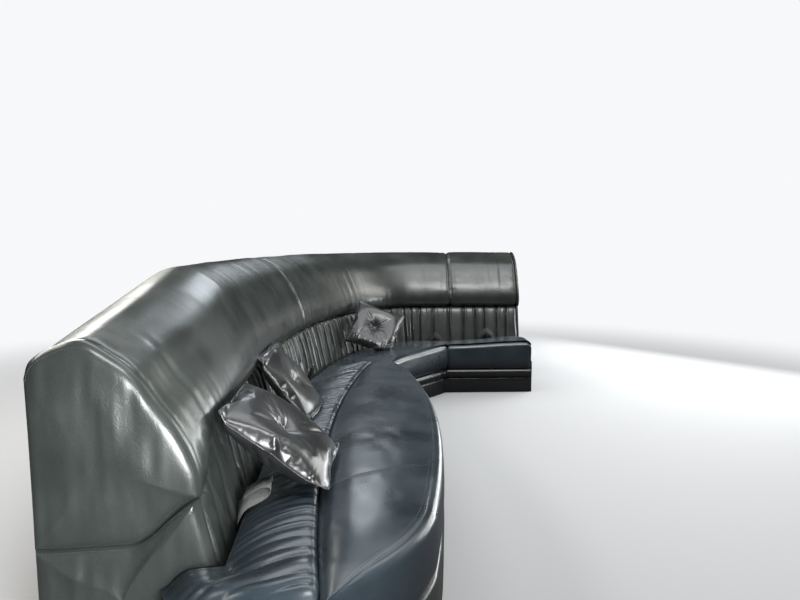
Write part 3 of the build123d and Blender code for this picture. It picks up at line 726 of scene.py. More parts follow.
# Seat plan: the leaf panel's edge is three arcs from its nose to its tip, and its inner seam
# is one arc. The rear bench front is straight, with a mitre, and curves into the leaf's tip.
LEAF_LOW, LEAF_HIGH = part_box("seat_leaf_panel")
TIP_SLANT = 0.080
TIP_Y = LEAF_HIGH.y - TIP_SLANT
REACH = LEAF_HIGH.x
NOSE = (REACH - 0.274, LEAF_LOW.y)
SHOULDER = (REACH - 0.067, LEAF_LOW.y + 0.256)
WIDEST = (REACH, (TIP_Y + LEAF_LOW.y) / 2 + 0.095)
TIP_OUT = (REACH - 0.094, TIP_Y)
TIP_IN = (TIP_OUT[0] - 0.125, LEAF_HIGH.y)
VALLEY = (REACH - 0.324, WIDEST[1])
LEAF_BOWS = (0.033, 0.0166, 0.0236)
NEAR_END_BOW = 0.070
BITE = 0.0593
WING_FACE = -0.0283
REAR_FRONT = HIGH.y - BACK_FACE - 0.370
MITRE = (HIGH.x - 0.477, REAR_FRONT)
FRONT_END = (HIGH.x - END_BOARD, REAR_FRONT)
CORNER_FRONT = (TIP_OUT[0], TIP_Y + 0.235)


def arc_through(a, m, b, count=60):
    """Points on the circle through three plan points."""
    (ax, ay), (mx, my), (bx, by) = a, m, b
    d = 2 * (ax * (my - by) + mx * (by - ay) + bx * (ay - my))
    sa, sm, sb = ax * ax + ay * ay, mx * mx + my * my, bx * bx + by * by
    cx = (sa * (my - by) + sm * (by - ay) + sb * (ay - my)) / d
    cy = (sa * (bx - mx) + sm * (ax - bx) + sb * (mx - ax)) / d
    radius = math.hypot(ax - cx, ay - cy)
    start = math.atan2(ay - cy, ax - cx)
    middle = (math.atan2(my - cy, mx - cx) - start) % (2 * math.pi)
    end = (math.atan2(by - cy, bx - cx) - start) % (2 * math.pi)
    if middle > end:
        end -= 2 * math.pi
    angle = start + np.linspace(0, end, count)
    return np.stack([cx + radius * np.cos(angle), cy + radius * np.sin(angle)], -1)


def bowed(a, b, bow):
    """The arc from a to b that bows to its right."""
    dx, dy = b[0] - a[0], b[1] - a[1]
    span = math.hypot(dx, dy)
    middle = ((a[0] + b[0]) / 2 + bow * dy / span, (a[1] + b[1]) / 2 - bow * dx / span)
    return arc_through(a, middle, b)


def joined(*runs):
    return np.concatenate([runs[0]] + [r[1:] for r in runs[1:]])


def even(points, count):
    """The same plan line with evenly spaced points."""
    points = np.asarray(points, float)
    length = np.concatenate([[0], np.cumsum(np.linalg.norm(np.diff(points, axis=0), axis=1))])
    at = np.linspace(0, length[-1], count)
    return np.stack([np.interp(at, length, points[:, i]) for i in range(points.shape[1])], -1)


def right_of(points):
    """Unit normals to the right of a plan line."""
    step = unit(np.gradient(points, axis=0))
    return np.stack([step[:, 1], -step[:, 0]], -1)


def coons(near_side, far_side, start, end):
    """A plan grid between four plan lines: u runs along the sides, v from near to far side."""
    nu, nv = len(near_side), len(start)
    u = np.linspace(0, 1, nu)[:, None, None]
    v = np.linspace(0, 1, nv)[None, :, None]
    ruled = (1 - v) * near_side[:, None] + v * far_side[:, None]
    cross = (1 - u) * start[None] + u * end[None]
    corners = ((1 - u) * (1 - v) * near_side[0] + (1 - u) * v * far_side[0]
               + u * (1 - v) * near_side[-1] + u * v * far_side[-1])
    return ruled + cross - corners


LEAF_EDGE = joined(bowed(NOSE, SHOULDER, LEAF_BOWS[0]), bowed(SHOULDER, WIDEST, LEAF_BOWS[1]),
                   bowed(WIDEST, TIP_OUT, LEAF_BOWS[2]))
LEAF_SEAM = arc_through(NOSE, VALLEY, TIP_IN)
WALL_END = on_backrest(WING_FACE, -0.060, 0.0)[:2]
NEAR_END = bowed(WALL_END, NOSE, NEAR_END_BOW)


def bite_points(s0, s1, count):
    """The plan line along which the seat meets the pleated band."""
    return on_backrest(np.linspace(s0, s1, count), BITE, 0.0)[:, :2]


def pad_piece(name, grid):
    """A seat pad from its top grid, dropped to the deck."""
    return new_piece(name, *slab(grid, PAD_FOOT), seat_leather, 75)


# Leaf panel: the smooth, crowned front of the side seat. One big hide panel is sewn to a
# side strip along its rim and to the ruched strip along its inner seam.
LEAF_TOP = 0.307
LEAF_CROWN = 0.011
LEAF_SEAM_TOP = 0.284
RIM = 0.020
JOIN_START = (-0.1811, -1.0655)
JOIN_SLOPE = 0.36
JOIN_BOW = -0.024
LEAF_ROLL = 0.016
LEAF_WAVES = (
    # height, pitch across, pitch along, seed
    (0.0016, 0.09, 0.17, 71), (0.0007, 0.03, 0.05, 72),
)
PUCKER = 0.0016
PUCKER_REACH = 0.020
PUCKER_COUNT = 95
RIM_GROOVE = 0.0018
RIM_GROOVE_WIDE = 0.0035
JOIN_GROOVE = 0.0020
JOIN_GROOVE_WIDE = 0.0040
NOSE_SINK = 0.006
TIP_SINK = 0.008
LEAF_SIDE = (
    # height, how far out
    (0.270, 0.0015), (0.245, 0.0025), (0.220, 0.0025), (0.200, 0.001), (0.186, -0.002), (0.179, -0.007),
)
leaf_u, leaf_v = 520, 70
outer = even(LEAF_EDGE, leaf_u)
inner = even(LEAF_SEAM, leaf_u)
away = right_of(outer)
away[0] = away[1]
rim_start = outer - away * RIM
u_at = np.linspace(0, 1, leaf_u)[:, None]
rim_start = outer + (rim_start - outer) * smooth(u_at / 0.08)
v = np.linspace(0, 1, leaf_v)
plan = inner[:, None] + (rim_start - inner)[:, None] * v[None, :, None]
wide = np.linalg.norm(rim_start - inner, axis=1)[:, None]
from_seam = v[None, :] * wide
from_rim = (1 - v[None, :]) * wide
rise = 1 - np.exp(-from_seam / LEAF_ROLL)
z = LEAF_SEAM_TOP + (LEAF_TOP - LEAF_SEAM_TOP) * rise * (1 - 0.25 * (1 - smooth(from_seam / 0.10)))
z = z + LEAF_CROWN * np.sin(math.pi * np.clip(v[None, :], 0, 1)) ** 0.8 * smooth(wide / 0.2)
z = z - NOSE_SINK * (1 - smooth(u_at / 0.06)) - TIP_SINK * smooth((u_at - 0.95) / 0.05)
for height, pitch_x, pitch_y, seed in LEAF_WAVES:
    z = z + height * ripple(plan[..., 0] / pitch_x, plan[..., 1] / pitch_y, seed) * rise
pucker = PUCKER * np.exp(-from_seam / PUCKER_REACH)
z = z + pucker * ripple(u_at * PUCKER_COUNT, v[None, :], 73) * rise
z = z - RIM_GROOVE * np.exp(-(from_rim / RIM_GROOVE_WIDE) ** 2)
off_join = (plan[..., 1] - JOIN_START[1] - JOIN_SLOPE * (plan[..., 0] - JOIN_START[0])
            + JOIN_BOW * ((plan[..., 0] - JOIN_START[0]) / 0.2) ** 2) / math.hypot(1, JOIN_SLOPE)
z = z - JOIN_GROOVE * np.exp(-(off_join / JOIN_GROOVE_WIDE) ** 2) * rise * smooth(from_rim / 0.01)
leaf_seam, leaf_rim, leaf_wide, leaf_rows, leaf_z = inner, rim_start, wide[:, 0], v, z
top = np.concatenate([plan, z[..., None]], -1)
rim_z = top[:, -1, 2] + 0.0012
rows = [at_height(rim_start + (outer - rim_start) * math.sin(a), rim_z - RIM * (1 - math.cos(a)))
        for a in np.linspace(0, math.pi / 2, 9)[1:]]
rows += [at_height(outer + away * out, z_at) for z_at, out in LEAF_SIDE]
leaf = pad_piece("leaf_panel", np.concatenate([top, np.stack(rows, 1)], 1))
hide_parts("seat_leaf_panel")

# Ruched strip: thin leather gathered over foam between the leaf panel and the backrest. Its
# folds run across the seat, high at the leaf's seam and dying out towards the back.
STRIP_OUTER = 0.292
STRIP_INNER = 0.246
FOLD_HEIGHT = 0.0065
FOLD_PITCH = 0.030
FOLD_WIDTHS = (0.62, 1.45)
FOLD_SLANT = 0.30
FOLD_WANDER = 0.012
STRIP_CROWN = 0.010
WRINKLE = 0.0009
WRINKLE_PITCH = 0.009
SEAM_SINK = 0.012
SEAM_SINK_REACH = 0.006
BACK_SINK = 0.006
END_SINK = 0.006
NEAR_FALL = 0.035
NEAR_FALL_REACH = 0.030
STRIP_END = (
    # height of a row on the near end, least drop under the top
    (0.185, 0.030), (0.215, 0.015), (0.235, 0.006),
)
strip_u, strip_v = 900, 64
bite_line = bite_points(0, S_SEAM, 300)
wing_corner = on_backrest(WING_FACE, BITE, 0.0)[:2]
bite = joined(np.linspace(WALL_END, wing_corner, 20), np.linspace(wing_corner, bite_line[0], 8), bite_line)
seam_side = even(LEAF_SEAM, strip_u)
bite_side = even(bite, strip_u)
strip_end = np.linspace(TIP_IN, bite[-1], strip_v)
plan = coons(seam_side, bite_side, even(NEAR_END[::-1], strip_v), strip_end)
v = np.linspace(0, 1, strip_v)[None, :]
u_at = np.linspace(0, 1, strip_u)[:, None]
across = v * np.linalg.norm(bite_side - seam_side, axis=1)[:, None]
z = STRIP_OUTER + (STRIP_INNER - STRIP_OUTER) * smooth(v * 1.05) + STRIP_CROWN * np.sin(math.pi * v) ** 0.9
widths = np.random.default_rng(81).uniform(*FOLD_WIDTHS, 200) * FOLD_PITCH
fold_ends = LEAF_LOW.y - 0.3 + np.cumsum(widths)
slant = plan[..., 1] + FOLD_SLANT * across + FOLD_WANDER * ripple(across / 0.06, plan[..., 1] / 0.10, 82)
i = np.clip(np.searchsorted(fold_ends, slant) - 1, 0, len(fold_ends) - 2)
t = (slant - fold_ends[i]) / (fold_ends[i + 1] - fold_ends[i])
ridge = 1 - np.abs(2 * np.clip(t, 0, 1) - 1) ** 2.0
lasting = 0.10 + 0.10 * ripple(i * 1.3, 0 * i, 83)
strength = np.exp(-across / (lasting + 0.02)) * 0.9 + 0.22
strength = strength * smooth(across / 0.010 + 0.25)
fine = ripple(slant / WRINKLE_PITCH, across / 0.05, 84)
z = z + FOLD_HEIGHT * strength * ridge * (0.75 + 0.35 * ripple(i * 2.1, across / 0.08, 85))
z = z + WRINKLE * fine * np.exp(-across / 0.05)
z = z - SEAM_SINK * np.exp(-across / SEAM_SINK_REACH) - BACK_SINK * smooth((v - 0.94) / 0.06)
z = z - END_SINK * np.exp(-(1 - u_at) / 0.004)
top = np.concatenate([plan, z[..., None]], -1)
fall = np.linalg.norm(plan - plan[:1], axis=-1)
top[..., 2] -= NEAR_FALL * np.exp(-(fall / NEAR_FALL_REACH) ** 2)
side = np.stack([at_height(plan[0], h) for h, _ in STRIP_END], 0)
side[..., 2] = np.minimum(side[..., 2], top[:1, :, 2] - np.array([under for _, under in STRIP_END])[:, None])
strip = pad_piece("ruched_strip", np.concatenate([side, top], 0))
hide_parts("seat_ruched_strip")

# Rear bench: a corner cushion and a rear cushion sewn together at the mitre. Both tops roll
# over a soft front edge and their fronts turn in under a lower lip.
BENCH_RIM = 0.032
BENCH_LIP = 0.136
BENCH_CROWN = 0.010
BENCH_BACK_SINK = 0.010
BENCH_WAVES = (
    # height, pitch across, pitch along, step of the seed
    (0.0016, 0.10, 0.08, 0), (0.0007, 0.025, 0.03, 1),
)
CORNER_HEIGHTS = (
    # front edge, then band edge: height at the start, rise to the end
    (0.262, 0.014), (0.246, 0.0),
)
REAR_HEIGHTS = ((0.276, 0.016), (0.246, 0.026))
FRONT_DROPS = (
    # height as a share from the rim down to the lip, how far out it stands
    (0.25, 0.004), (0.50, 0.006), (0.72, 0.004), (0.88, -0.001), (0.97, -0.008), (1.0, -0.016),
)


def bench_cushion(front, bite_side, start, end, heights, seed, seams):
    """Top, rolled front edge and front face of one bench cushion as one grid."""
    out = right_of(front)
    nu = len(front)
    rim_start = front - out * BENCH_RIM
    share = np.linspace(0, 1, nu)[:, None]
    begin = even(joined(rim_start[:1], start), len(start))
    finish = even(joined(rim_start[-1:], end), len(end))
    plan = coons(rim_start, bite_side, begin, finish)
    v = np.linspace(0, 1, len(start))[None, :]
    depth = np.linalg.norm(bite_side - rim_start, axis=1)[:, None]
    front_top, bite_top = (low + rise * smooth(share) for low, rise in heights)
    z = front_top * (1 - smooth(v)) + bite_top * smooth(v)
    z = z + BENCH_CROWN * np.sin(math.pi * np.clip(v, 0, 1)) ** 0.8
    span = np.linalg.norm(np.diff(front, axis=0), axis=1).sum()
    run = share * span
    for at_start, reach, sink in seams:
        d = run if at_start else span - run
        z = z - sink * np.exp(-(d / reach) ** 2) - 0.3 * sink * np.exp(-d / 0.04)
    for height, pitch_x, pitch_y, step in BENCH_WAVES:
        z = z + height * ripple(plan[..., 0] / pitch_x, plan[..., 1] / pitch_y, seed + step)
    z = z - BENCH_BACK_SINK * np.exp(-(1 - v) * depth / 0.012)
    top = np.concatenate([plan, z[..., None]], -1)[:, ::-1]
    head = top[:, -1, 2]
    rows = [at_height(rim_start + (front - rim_start) * math.sin(a), head - BENCH_RIM * (1 - math.cos(a)))
            for a in np.linspace(0, math.pi / 2, 10)[1:]]
    low = head - BENCH_RIM
    dent = np.zeros(nu)
    for at_start, reach, sink in seams:
        d = (run if at_start else span - run)[:, 0]
        dent += sink * 0.8 * np.exp(-(d / reach) ** 2)
    for drop, stand in FRONT_DROPS:
        bump = 0.0012 * ripple(run[:, 0] / 0.06, 0 * run[:, 0] + drop * 4, seed + 2)
        rows.append(at_height(front + out * (stand + bump - dent)[:, None], low + (BENCH_LIP - low) * drop))
    return np.concatenate([top, np.stack(rows, 1)], 1)


bench_v = 60
corner_front = even(curve_through(np.array([TIP_OUT, CORNER_FRONT, MITRE]), (60, 60)), 260)
corner_bite = even(bite_points(S_SEAM, S_REAR, 400), 260)
corner_start = even(joined(np.array([TIP_OUT, TIP_IN]), np.array([TIP_IN, corner_bite[0]])), bench_v)
corner_grid = bench_cushion(corner_front, corner_bite, corner_start,
                            np.linspace(MITRE, corner_bite[-1], bench_v), CORNER_HEIGHTS, 91,
                            ((False, 0.006, 0.006), (True, 0.006, 0.006)))
rear_front = even(np.linspace(MITRE, FRONT_END, 10), 140)
rear_bite = even(bite_points(S_REAR, S_END, 200), 140)
rear_grid = bench_cushion(rear_front, rear_bite, np.linspace(MITRE, rear_bite[0], bench_v),
                          np.linspace(FRONT_END, rear_bite[-1], bench_v),
                          REAR_HEIGHTS, 95, ((True, 0.006, 0.006), (False, 0.010, 0.012)))
for name, grid, node in (("corner_bench", corner_grid, "seat_corner_cushion"),
                         ("rear_bench", rear_grid, "seat_rear_cushion")):
    piece = pad_piece(name, grid)
    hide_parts(node)

# Side skirt: one leather strip glued over a board that drops from the side seat to the floor.
# It is turned in under the board's foot.
SKIRT_SECTION = (
    # out from the seat's edge, height
    (-0.0040, 0.1745), (0.0005, 0.170), (0.0025, 0.150), (0.0030, 0.110), (0.0025, 0.060), (0.0015, 0.022),
    (-0.0010, 0.007), (-0.0050, 0.0015), (-0.0120, 0.0010), (-0.0172, 0.0010), (-0.0172, 0.1745),
)
SKIRT_SOFT_ROWS = 7
SKIRT_SOFT = 0.0012


def edge_strip(name, line, section, material, softness):
    """A strip of one upright section that follows a plan line, with its softness in each row."""
    out = right_of(line)
    rows = [at_height(line + out * (stand + softness(k, z))[:, None], z)
            for k, (stand, z) in enumerate(section)]
    return ring_piece(name, np.stack(rows, 1), material, 60)


skirt_line = even(joined(NEAR_END, LEAF_EDGE), 520)
share = np.linspace(0, 1, len(skirt_line))
skirt = edge_strip("side_skirt_cover", skirt_line, SKIRT_SECTION, backrest_leather,
                   lambda k, z: SKIRT_SOFT * ripple(share * 26, 0 * share + z * 12, 101)
                   * (0 < k < SKIRT_SOFT_ROWS))
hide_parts("side_skirt")

# Kick panel: vinyl glued over a board and set back under the rear bench. A padded roll of the
# same vinyl runs across its top.
kick_vinyl = hide_material("kick_vinyl", (0.012, 0.012, 0.013), (0.05, 0.055, 0.06),
                           bloom=0.3, crease_depth=0.12, roughness_low=0.26, roughness_high=0.38)
KICK_ROLL_SECTION = (
    # out from the bench's front, height
    (-0.0195, 0.1345), (-0.0120, 0.1345), (-0.0040, 0.1320), (0.0010, 0.1240), (0.0020, 0.1130),
    (0.0000, 0.1010), (-0.0050, 0.0920), (-0.0120, 0.0875), (-0.0195, 0.0860),
)
KICK_PANEL_SECTION = (
    (-0.0200, 0.159), (-0.0200, 0.0840), (-0.0175, 0.0820), (-0.0160, 0.0760), (-0.0170, 0.0400),
    (-0.0185, 0.0100), (-0.0200, 0.0012), (-0.0318, 0.0012), (-0.0318, 0.159),
)
KICK_SOFT = 0.0008
under_front = even(joined(corner_front, rear_front), 420)
step_at = np.arange(len(under_front)) / 9.0
for name, section in (("kick_roll", KICK_ROLL_SECTION), ("kick_panel", KICK_PANEL_SECTION)):
    piece = edge_strip(name + "_cover", under_front, section, kick_vinyl,
                       lambda k, z: KICK_SOFT * ripple(step_at, 0 * step_at + z * 20, 105)
                       * (0 < k < len(section) - 2))
    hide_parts(name + "_rear")

# Rear end panel: boards wrapped in leather that close the backrest and the bench's base
# against the wall.
CAP_SECTION = (
    # out from the seat's end, share of the outline
    (0.0003, 0.990), (0.0020, 1.0), (0.0085, 1.0), (0.0108, 0.995), (0.0117, 0.985), (0.0119, 0.94),
)
CAP_FACE_RINGS = 38
CAP_FOOT = 0.0015
CAP_CENTRE = (-0.14, 0.36)
BASE_END = (0.050, 0.348)


def end_cap(name, outline, centre, material, seed):
    """A wrapped board beyond the seat's end, from its outline in (out from the line, height)."""
    inner = [(CAP_SECTION[-1][0], 0.94 * (1 - (k + 1) / (CAP_FACE_RINGS + 1))) for k in range(CAP_FACE_RINGS)]
    rings = []
    for stand, share in (*CAP_SECTION, *inner):
        flat = centre + (outline - centre) * share
        soft = -0.0010 * ripple(flat[:, 0] / 0.05, flat[:, 1] / 0.07, seed) ** 2 * (share < 0.95)
        rings.append(on_backrest(S_END + stand + soft, flat[:, 0], flat[:, 1]))
    return ring_piece(name, rings, material, 60)


shape = curve_through(profile_knots(np.array([S_END])), PROFILE_STEPS)[0]
front_z = np.linspace(DECK_TOP, BAND_TOP - 0.006, 24)
outline = np.concatenate([
    np.linspace((BITE - 0.012, CAP_FOOT), (BITE - 0.012, DECK_TOP - 0.004), 8),
    np.stack([band_face(front_z) - 0.004, front_z], -1),
    shape[3:],
    np.linspace((FLAP_OUT, 0.66), (FLAP_OUT, CAP_FOOT), 20),
    np.linspace((FLAP_OUT + 0.01, CAP_FOOT), (BITE - 0.02, CAP_FOOT), 16),
])
cap = end_cap("end_cap_rear", outline, np.array(CAP_CENTRE), backrest_leather, 111)
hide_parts("end_panel_rear")
low, high = np.array((BASE_END[0], CAP_FOOT)), np.array((BASE_END[1], DECK_TOP - 0.0008))
corners = (low, (low[0], high[1]), high, (high[0], low[1]), low)
outline = np.concatenate([np.linspace(a, b, count)[:-1]
                          for a, b, count in zip(corners, corners[1:], (16, 30, 16, 30))])
base_end = end_cap("base_end_rear", outline, (low + high) / 2, kick_vinyl, 112)

# Scatter cushions: three square pillows of glossy black leather over loose fibre, piped round
# the seam and pinched in the middle by a stitch. Pressed into the seat where they rest.
CUSHION_CELLS = 64
CUSHION_PRESSURE = 11.0
CUSHION_FRAMES = 22
CUSHION_CAP = 0.034
CLEARANCE = 0.0012
LEAST_THICK = 0.006
SETTLE_REACH = 0.030
SETTLE_MOST = 0.014
PIPING_RADIUS = 0.0021
PIPING_ROUNDS = 3
PILLOW_HIGH = 0.029
PILLOW_EDGE = 0.42
STITCH_DENT = 0.72
STITCH_DENT_REACH = 0.028
STITCH_HELD = 0.006
CREASE_SHARE = 0.55
SETTLE_ROUNDS = 24
SETTLE_HOLD = 0.85
RESTS_ON = ("roll_", "pleats_", "leaf_", "ruched_", "corner_bench")
TUFT = (
    # lift out of the leather, radius
    (-0.006, 0.0040), (-0.001, 0.0042), (0.0002, 0.0030), (0.0004, 0.0010),
)
CUSHIONS = (
    # name, size, side fullness, stiffness of its leather,
    # place along the line, out from it, height, lean, turn, spin
    ("near", 0.294, 0.035, 6.0, 0.2620, 0.1336, 0.3969, 36.5, 0.0, 0.0),
    ("middle", 0.278, 0.030, 9.0, 0.8240, 0.1018, 0.3789, 53.0, 0.0, 0.0),
    ("far", 0.270, -0.010, 5.0, 2.1400, 0.1645, 0.3763, 55.0, -80.0, 24.0),
)
CREASES = {
    # way from the stitch, length, depth, width of each crease that runs from it
    "near": ((2.75, 0.066, 0.0058, 0.0062), (3.22, 0.056, 0.0054, 0.0056), (2.15, 0.056, 0.0050, 0.0056)),
    "middle": ((2.20, 0.055, 0.0026, 0.0070), (3.60, 0.060, 0.0022, 0.0070), (0.30, 0.050, 0.0018, 0.0070)),
    "far": ((0.10, 0.080, 0.0040, 0.0030), (0.62, 0.060, 0.0032, 0.0026), (1.30, 0.058, 0.0036, 0.0028),
            (1.95, 0.056, 0.0036, 0.0028), (2.60, 0.062, 0.0040, 0.0028), (3.30, 0.050, 0.0036, 0.0028),
            (4.00, 0.052, 0.0034, 0.0028), (4.75, 0.046, 0.0028, 0.0030), (5.45, 0.048, 0.0022, 0.0030)),
}
PUCKERS = {
    # along which edge, from and to along it, pitch, depth, reach inward
    "near": (("v-", 0.45, 0.98, 0.015, 0.0016, 0.026), ("u+", 0.72, 0.98, 0.013, 0.0012, 0.022)),
    "middle": (("v-", 0.60, 0.98, 0.015, 0.0012, 0.022), ("u+", 0.70, 0.98, 0.014, 0.0012, 0.022)),
    "far": (("u+", -0.98, 0.98, 0.0185, 0.0046, 0.048), ("v+", 0.30, 0.98, 0.016, 0.0040, 0.036),
            ("v-", 0.20, 0.98, 0.016, 0.0026, 0.030)),
}
cushion_leather = hide_material("cushion_leather", (0.026, 0.027, 0.028), (0.12, 0.125, 0.13), bloom=0.28,
                                crease_depth=0.08, pebble_depth=0.05, roughness_low=0.27, roughness_high=0.36)


def pillow_start(size, fullness):
    """A slack pillow in its own plane: points, faces, places on it and grid indices of the top."""
    t = np.linspace(-1, 1, CUSHION_CELLS + 1)
    u, v = np.meshgrid(t, t, indexing="ij")
    x = u * size / 2 * (1 + fullness * (1 - v ** 2))
    y = v * size / 2 * (1 + fullness * (1 - u ** 2))
    r = np.hypot(x, y)
    crown = ((1 - u ** 2) * (1 - v ** 2)) ** PILLOW_EDGE
    z = PILLOW_HIGH * crown * (1 - STITCH_DENT * np.exp(-(r / STITCH_DENT_REACH) ** 2))
    n = CUSHION_CELLS + 1
    top = np.arange(n * n).reshape(n, n)
    inner = (np.abs(u) < 1) & (np.abs(v) < 1)
    bottom = top.copy()
    bottom[inner] = n * n + np.arange(inner.sum())
    points = np.concatenate([np.stack([x, y, z], -1).reshape(-1, 3), np.stack([x, y, -z], -1)[inner]])
    faces = []
    for i in range(CUSHION_CELLS):
        for j in range(CUSHION_CELLS):
            faces.append((top[i, j], top[i + 1, j], top[i + 1, j + 1], top[i, j + 1]))
            faces.append((bottom[i, j], bottom[i, j + 1], bottom[i + 1, j + 1], bottom[i + 1, j]))
    return points, faces, top


def blow_up(points, faces, stiffness):
    """The pillow after cloth under inner pressure, with its middle held by the stitch."""
    mesh = bpy.data.meshes.new("slack_pillow")
    mesh.from_pydata(points.tolist(), [], faces)
    slack = bpy.data.objects.new("slack_pillow", mesh)
    bpy.context.collection.objects.link(slack)
    held = slack.vertex_groups.new(name="stitch")
    middle = np.flatnonzero(np.hypot(points[:, 0], points[:, 1]) < STITCH_HELD)
    held.add([int(i) for i in middle], 1.0, "REPLACE")
    cloth = slack.modifiers.new("pillow", "CLOTH")
    cloth.settings.use_pressure = True
    cloth.settings.uniform_pressure_force = CUSHION_PRESSURE
    cloth.settings.effector_weights.gravity = 0.0
    cloth.settings.tension_stiffness = 40.0
    cloth.settings.compression_stiffness = 40.0
    cloth.settings.shear_stiffness = 13.0
    cloth.settings.bending_stiffness = stiffness
    cloth.settings.quality = 6
    cloth.settings.vertex_group_mass = "stitch"
    cloth.collision_settings.use_collision = False
    cloth.point_cache.frame_start = 1
    cloth.point_cache.frame_end = CUSHION_FRAMES
    bpy.context.scene.frame_start = 1
    bpy.context.scene.frame_end = CUSHION_FRAMES
    for frame_number in range(1, CUSHION_FRAMES + 1):
        bpy.context.scene.frame_set(frame_number)
    blown = bpy.data.meshes.new_from_object(slack.evaluated_get(bpy.context.evaluated_depsgraph_get()))
    moved = np.array([v.co for v in blown.vertices])
    bpy.data.objects.remove(slack)
    bpy.data.meshes.remove(blown)
    bpy.context.scene.frame_set(1)
    step = moved - points
    length = np.linalg.norm(step, axis=1, keepdims=True)
    return points + step * np.minimum(1.0, CUSHION_CAP / np.maximum(length, 1e-9))


def finer_mesh(points, faces):
    """One smoothing subdivision: points, faces and point normals."""
    mesh = bpy.data.meshes.new("coarse")
    mesh.from_pydata(points.tolist(), [], faces)
    coarse = bpy.data.objects.new("coarse", mesh)
    bpy.context.collection.objects.link(coarse)
    finer = coarse.modifiers.new("finer", "SUBSURF")
    finer.levels = finer.render_levels = 1
    smooth_mesh = bpy.data.meshes.new_from_object(coarse.evaluated_get(bpy.context.evaluated_depsgraph_get()))
    bpy.data.objects.remove(coarse)
    return (np.array([v.co for v in smooth_mesh.vertices]), [tuple(f.vertices) for f in smooth_mesh.polygons],
            np.array([n.vector for n in smooth_mesh.vertex_normals]))


def creased(points, normals, name, size):
    """Creases that run out from the stitch and puckers along the seams, on the face that shows."""
    x, y = points[:, 0], points[:, 1]
    r = np.hypot(x, y)
    angle = np.arctan2(y, x)
    lift = np.zeros(len(points))
    for way, length, depth, width in CREASES[name]:
        wander = 0.07 * np.sin(r * 90.0 + way * 7)
        off = np.sin(angle - way - wander) * r
        ahead = np.cos(angle - way) > 0
        wide = width * (0.55 + r / length)
        fold = np.exp(-(off / wide) ** 2) - 0.45 * np.exp(-((np.abs(off) - 1.9 * wide) / (0.9 * wide)) ** 2)
        lift += depth * CREASE_SHARE * fold * ahead * smooth(r / 0.008) * np.exp(-(r / length) ** 3)
    half = size / 2
    for edge, start, end, pitch, depth, reach in PUCKERS[name]:
        away = half - (x if edge == "u+" else y if edge == "v+" else -y)
        t = (y if edge[0] == "u" else x) / half
        inside = smooth((t - start) / 0.12) * smooth((end - t) / 0.10)
        run = t * half / pitch
        run = run + 0.30 * np.sin(2.3 * run + len(name)) + away * 5.0 * np.sin(1.1 * run)
        wave = (0.5 + 0.5 * np.cos(2 * math.pi * run)) ** 1.6 - 0.35
        strong = 0.65 + 0.35 * np.sin(1.7 * run + 2.0)
        near_edge = smooth(np.maximum(away, 0) / 0.006) * np.exp(-(np.maximum(away, 0) / reach) ** 2)
        lift += depth * wave * strong * near_edge * inside
    return points + normals * (lift * (points[:, 2] > 0))[:, None]


def support_tree():
    """The dressed seat's own surface, on which the cushions rest."""
    points, faces = [], []
    for piece in bpy.data.objects:
        if piece.type == "MESH" and piece.name.startswith(RESTS_ON):
            base = len(points)
            points += [v.co.copy() for v in piece.data.vertices]
            faces += [[base + i for i in f.vertices] for f in piece.data.polygons]
    return BVHTree.FromPolygons(points, faces)


def cushion_frame(s, n, z, lean, turn, spin):
    """Middle and axes of a leaning cushion: down its face, across it and out of it."""
    tip, way, roll = math.radians(lean), math.radians(turn), math.radians(-spin)
    out = np.array((math.sin(tip) * math.cos(way), math.sin(tip) * math.sin(way), math.cos(tip)))
    down = np.array((math.cos(tip) * math.cos(way), math.cos(tip) * math.sin(way), -math.sin(tip)))
    across = np.cross(out, down)
    middle = on_backrest(s, n, z)
    return middle, (down * math.cos(roll) + across * math.sin(roll),
                    across * math.cos(roll) - down * math.sin(roll), out)


def settled(points, faces, local_z, out, seat):
    """Pushes points out of what the cushion rests on, evened out so that its leather stays smooth."""
    sunk = np.zeros(len(points))
    for i, point in enumerate(points):
        start = Vector(point + out * SETTLE_REACH)
        place, facing_way, face, hit = seat.ray_cast(start, Vector(-out), 2 * SETTLE_REACH)
        if place is None or facing_way.dot(Vector(out)) < 0.1:
            continue
        spare = min(LEAST_THICK, 0.3 * local_z[i]) if local_z[i] > 0 else 0.0
        sunk[i] = CLEARANCE + spare - (SETTLE_REACH - hit)
    sunk = np.clip(sunk, 0.0, SETTLE_MOST)
    quads = np.array(faces)
    count = np.bincount(quads.ravel(), minlength=len(points))
    push = sunk.copy()
    for _ in range(SETTLE_ROUNDS):
        evened = np.bincount(quads.ravel(), np.repeat(push[quads].mean(1), 4), len(points)) / count
        push = np.maximum(evened, sunk * SETTLE_HOLD)
    return points + out * push[:, None]


def tube(line, radius, around=8):
    """Rings of a round cord along a closed line of points."""
    step = unit(np.roll(line, -1, 0) - np.roll(line, 1, 0))
    side = unit(np.cross(step, (0.31, 0.17, 0.94)))
    up = np.cross(side, step)
    a = np.linspace(0, 2 * math.pi, around, endpoint=False)[None, :, None]
    return line[:, None] + radius * (side[:, None] * np.cos(a) + up[:, None] * np.sin(a))


def closed_tube_faces(count, around):
    """Faces of a ring of rings, each with around points."""
    return [(i * around + j, ((i + 1) % count) * around + j,
             ((i + 1) % count) * around + (j + 1) % around, i * around + (j + 1) % around)
            for i in range(count) for j in range(around)]


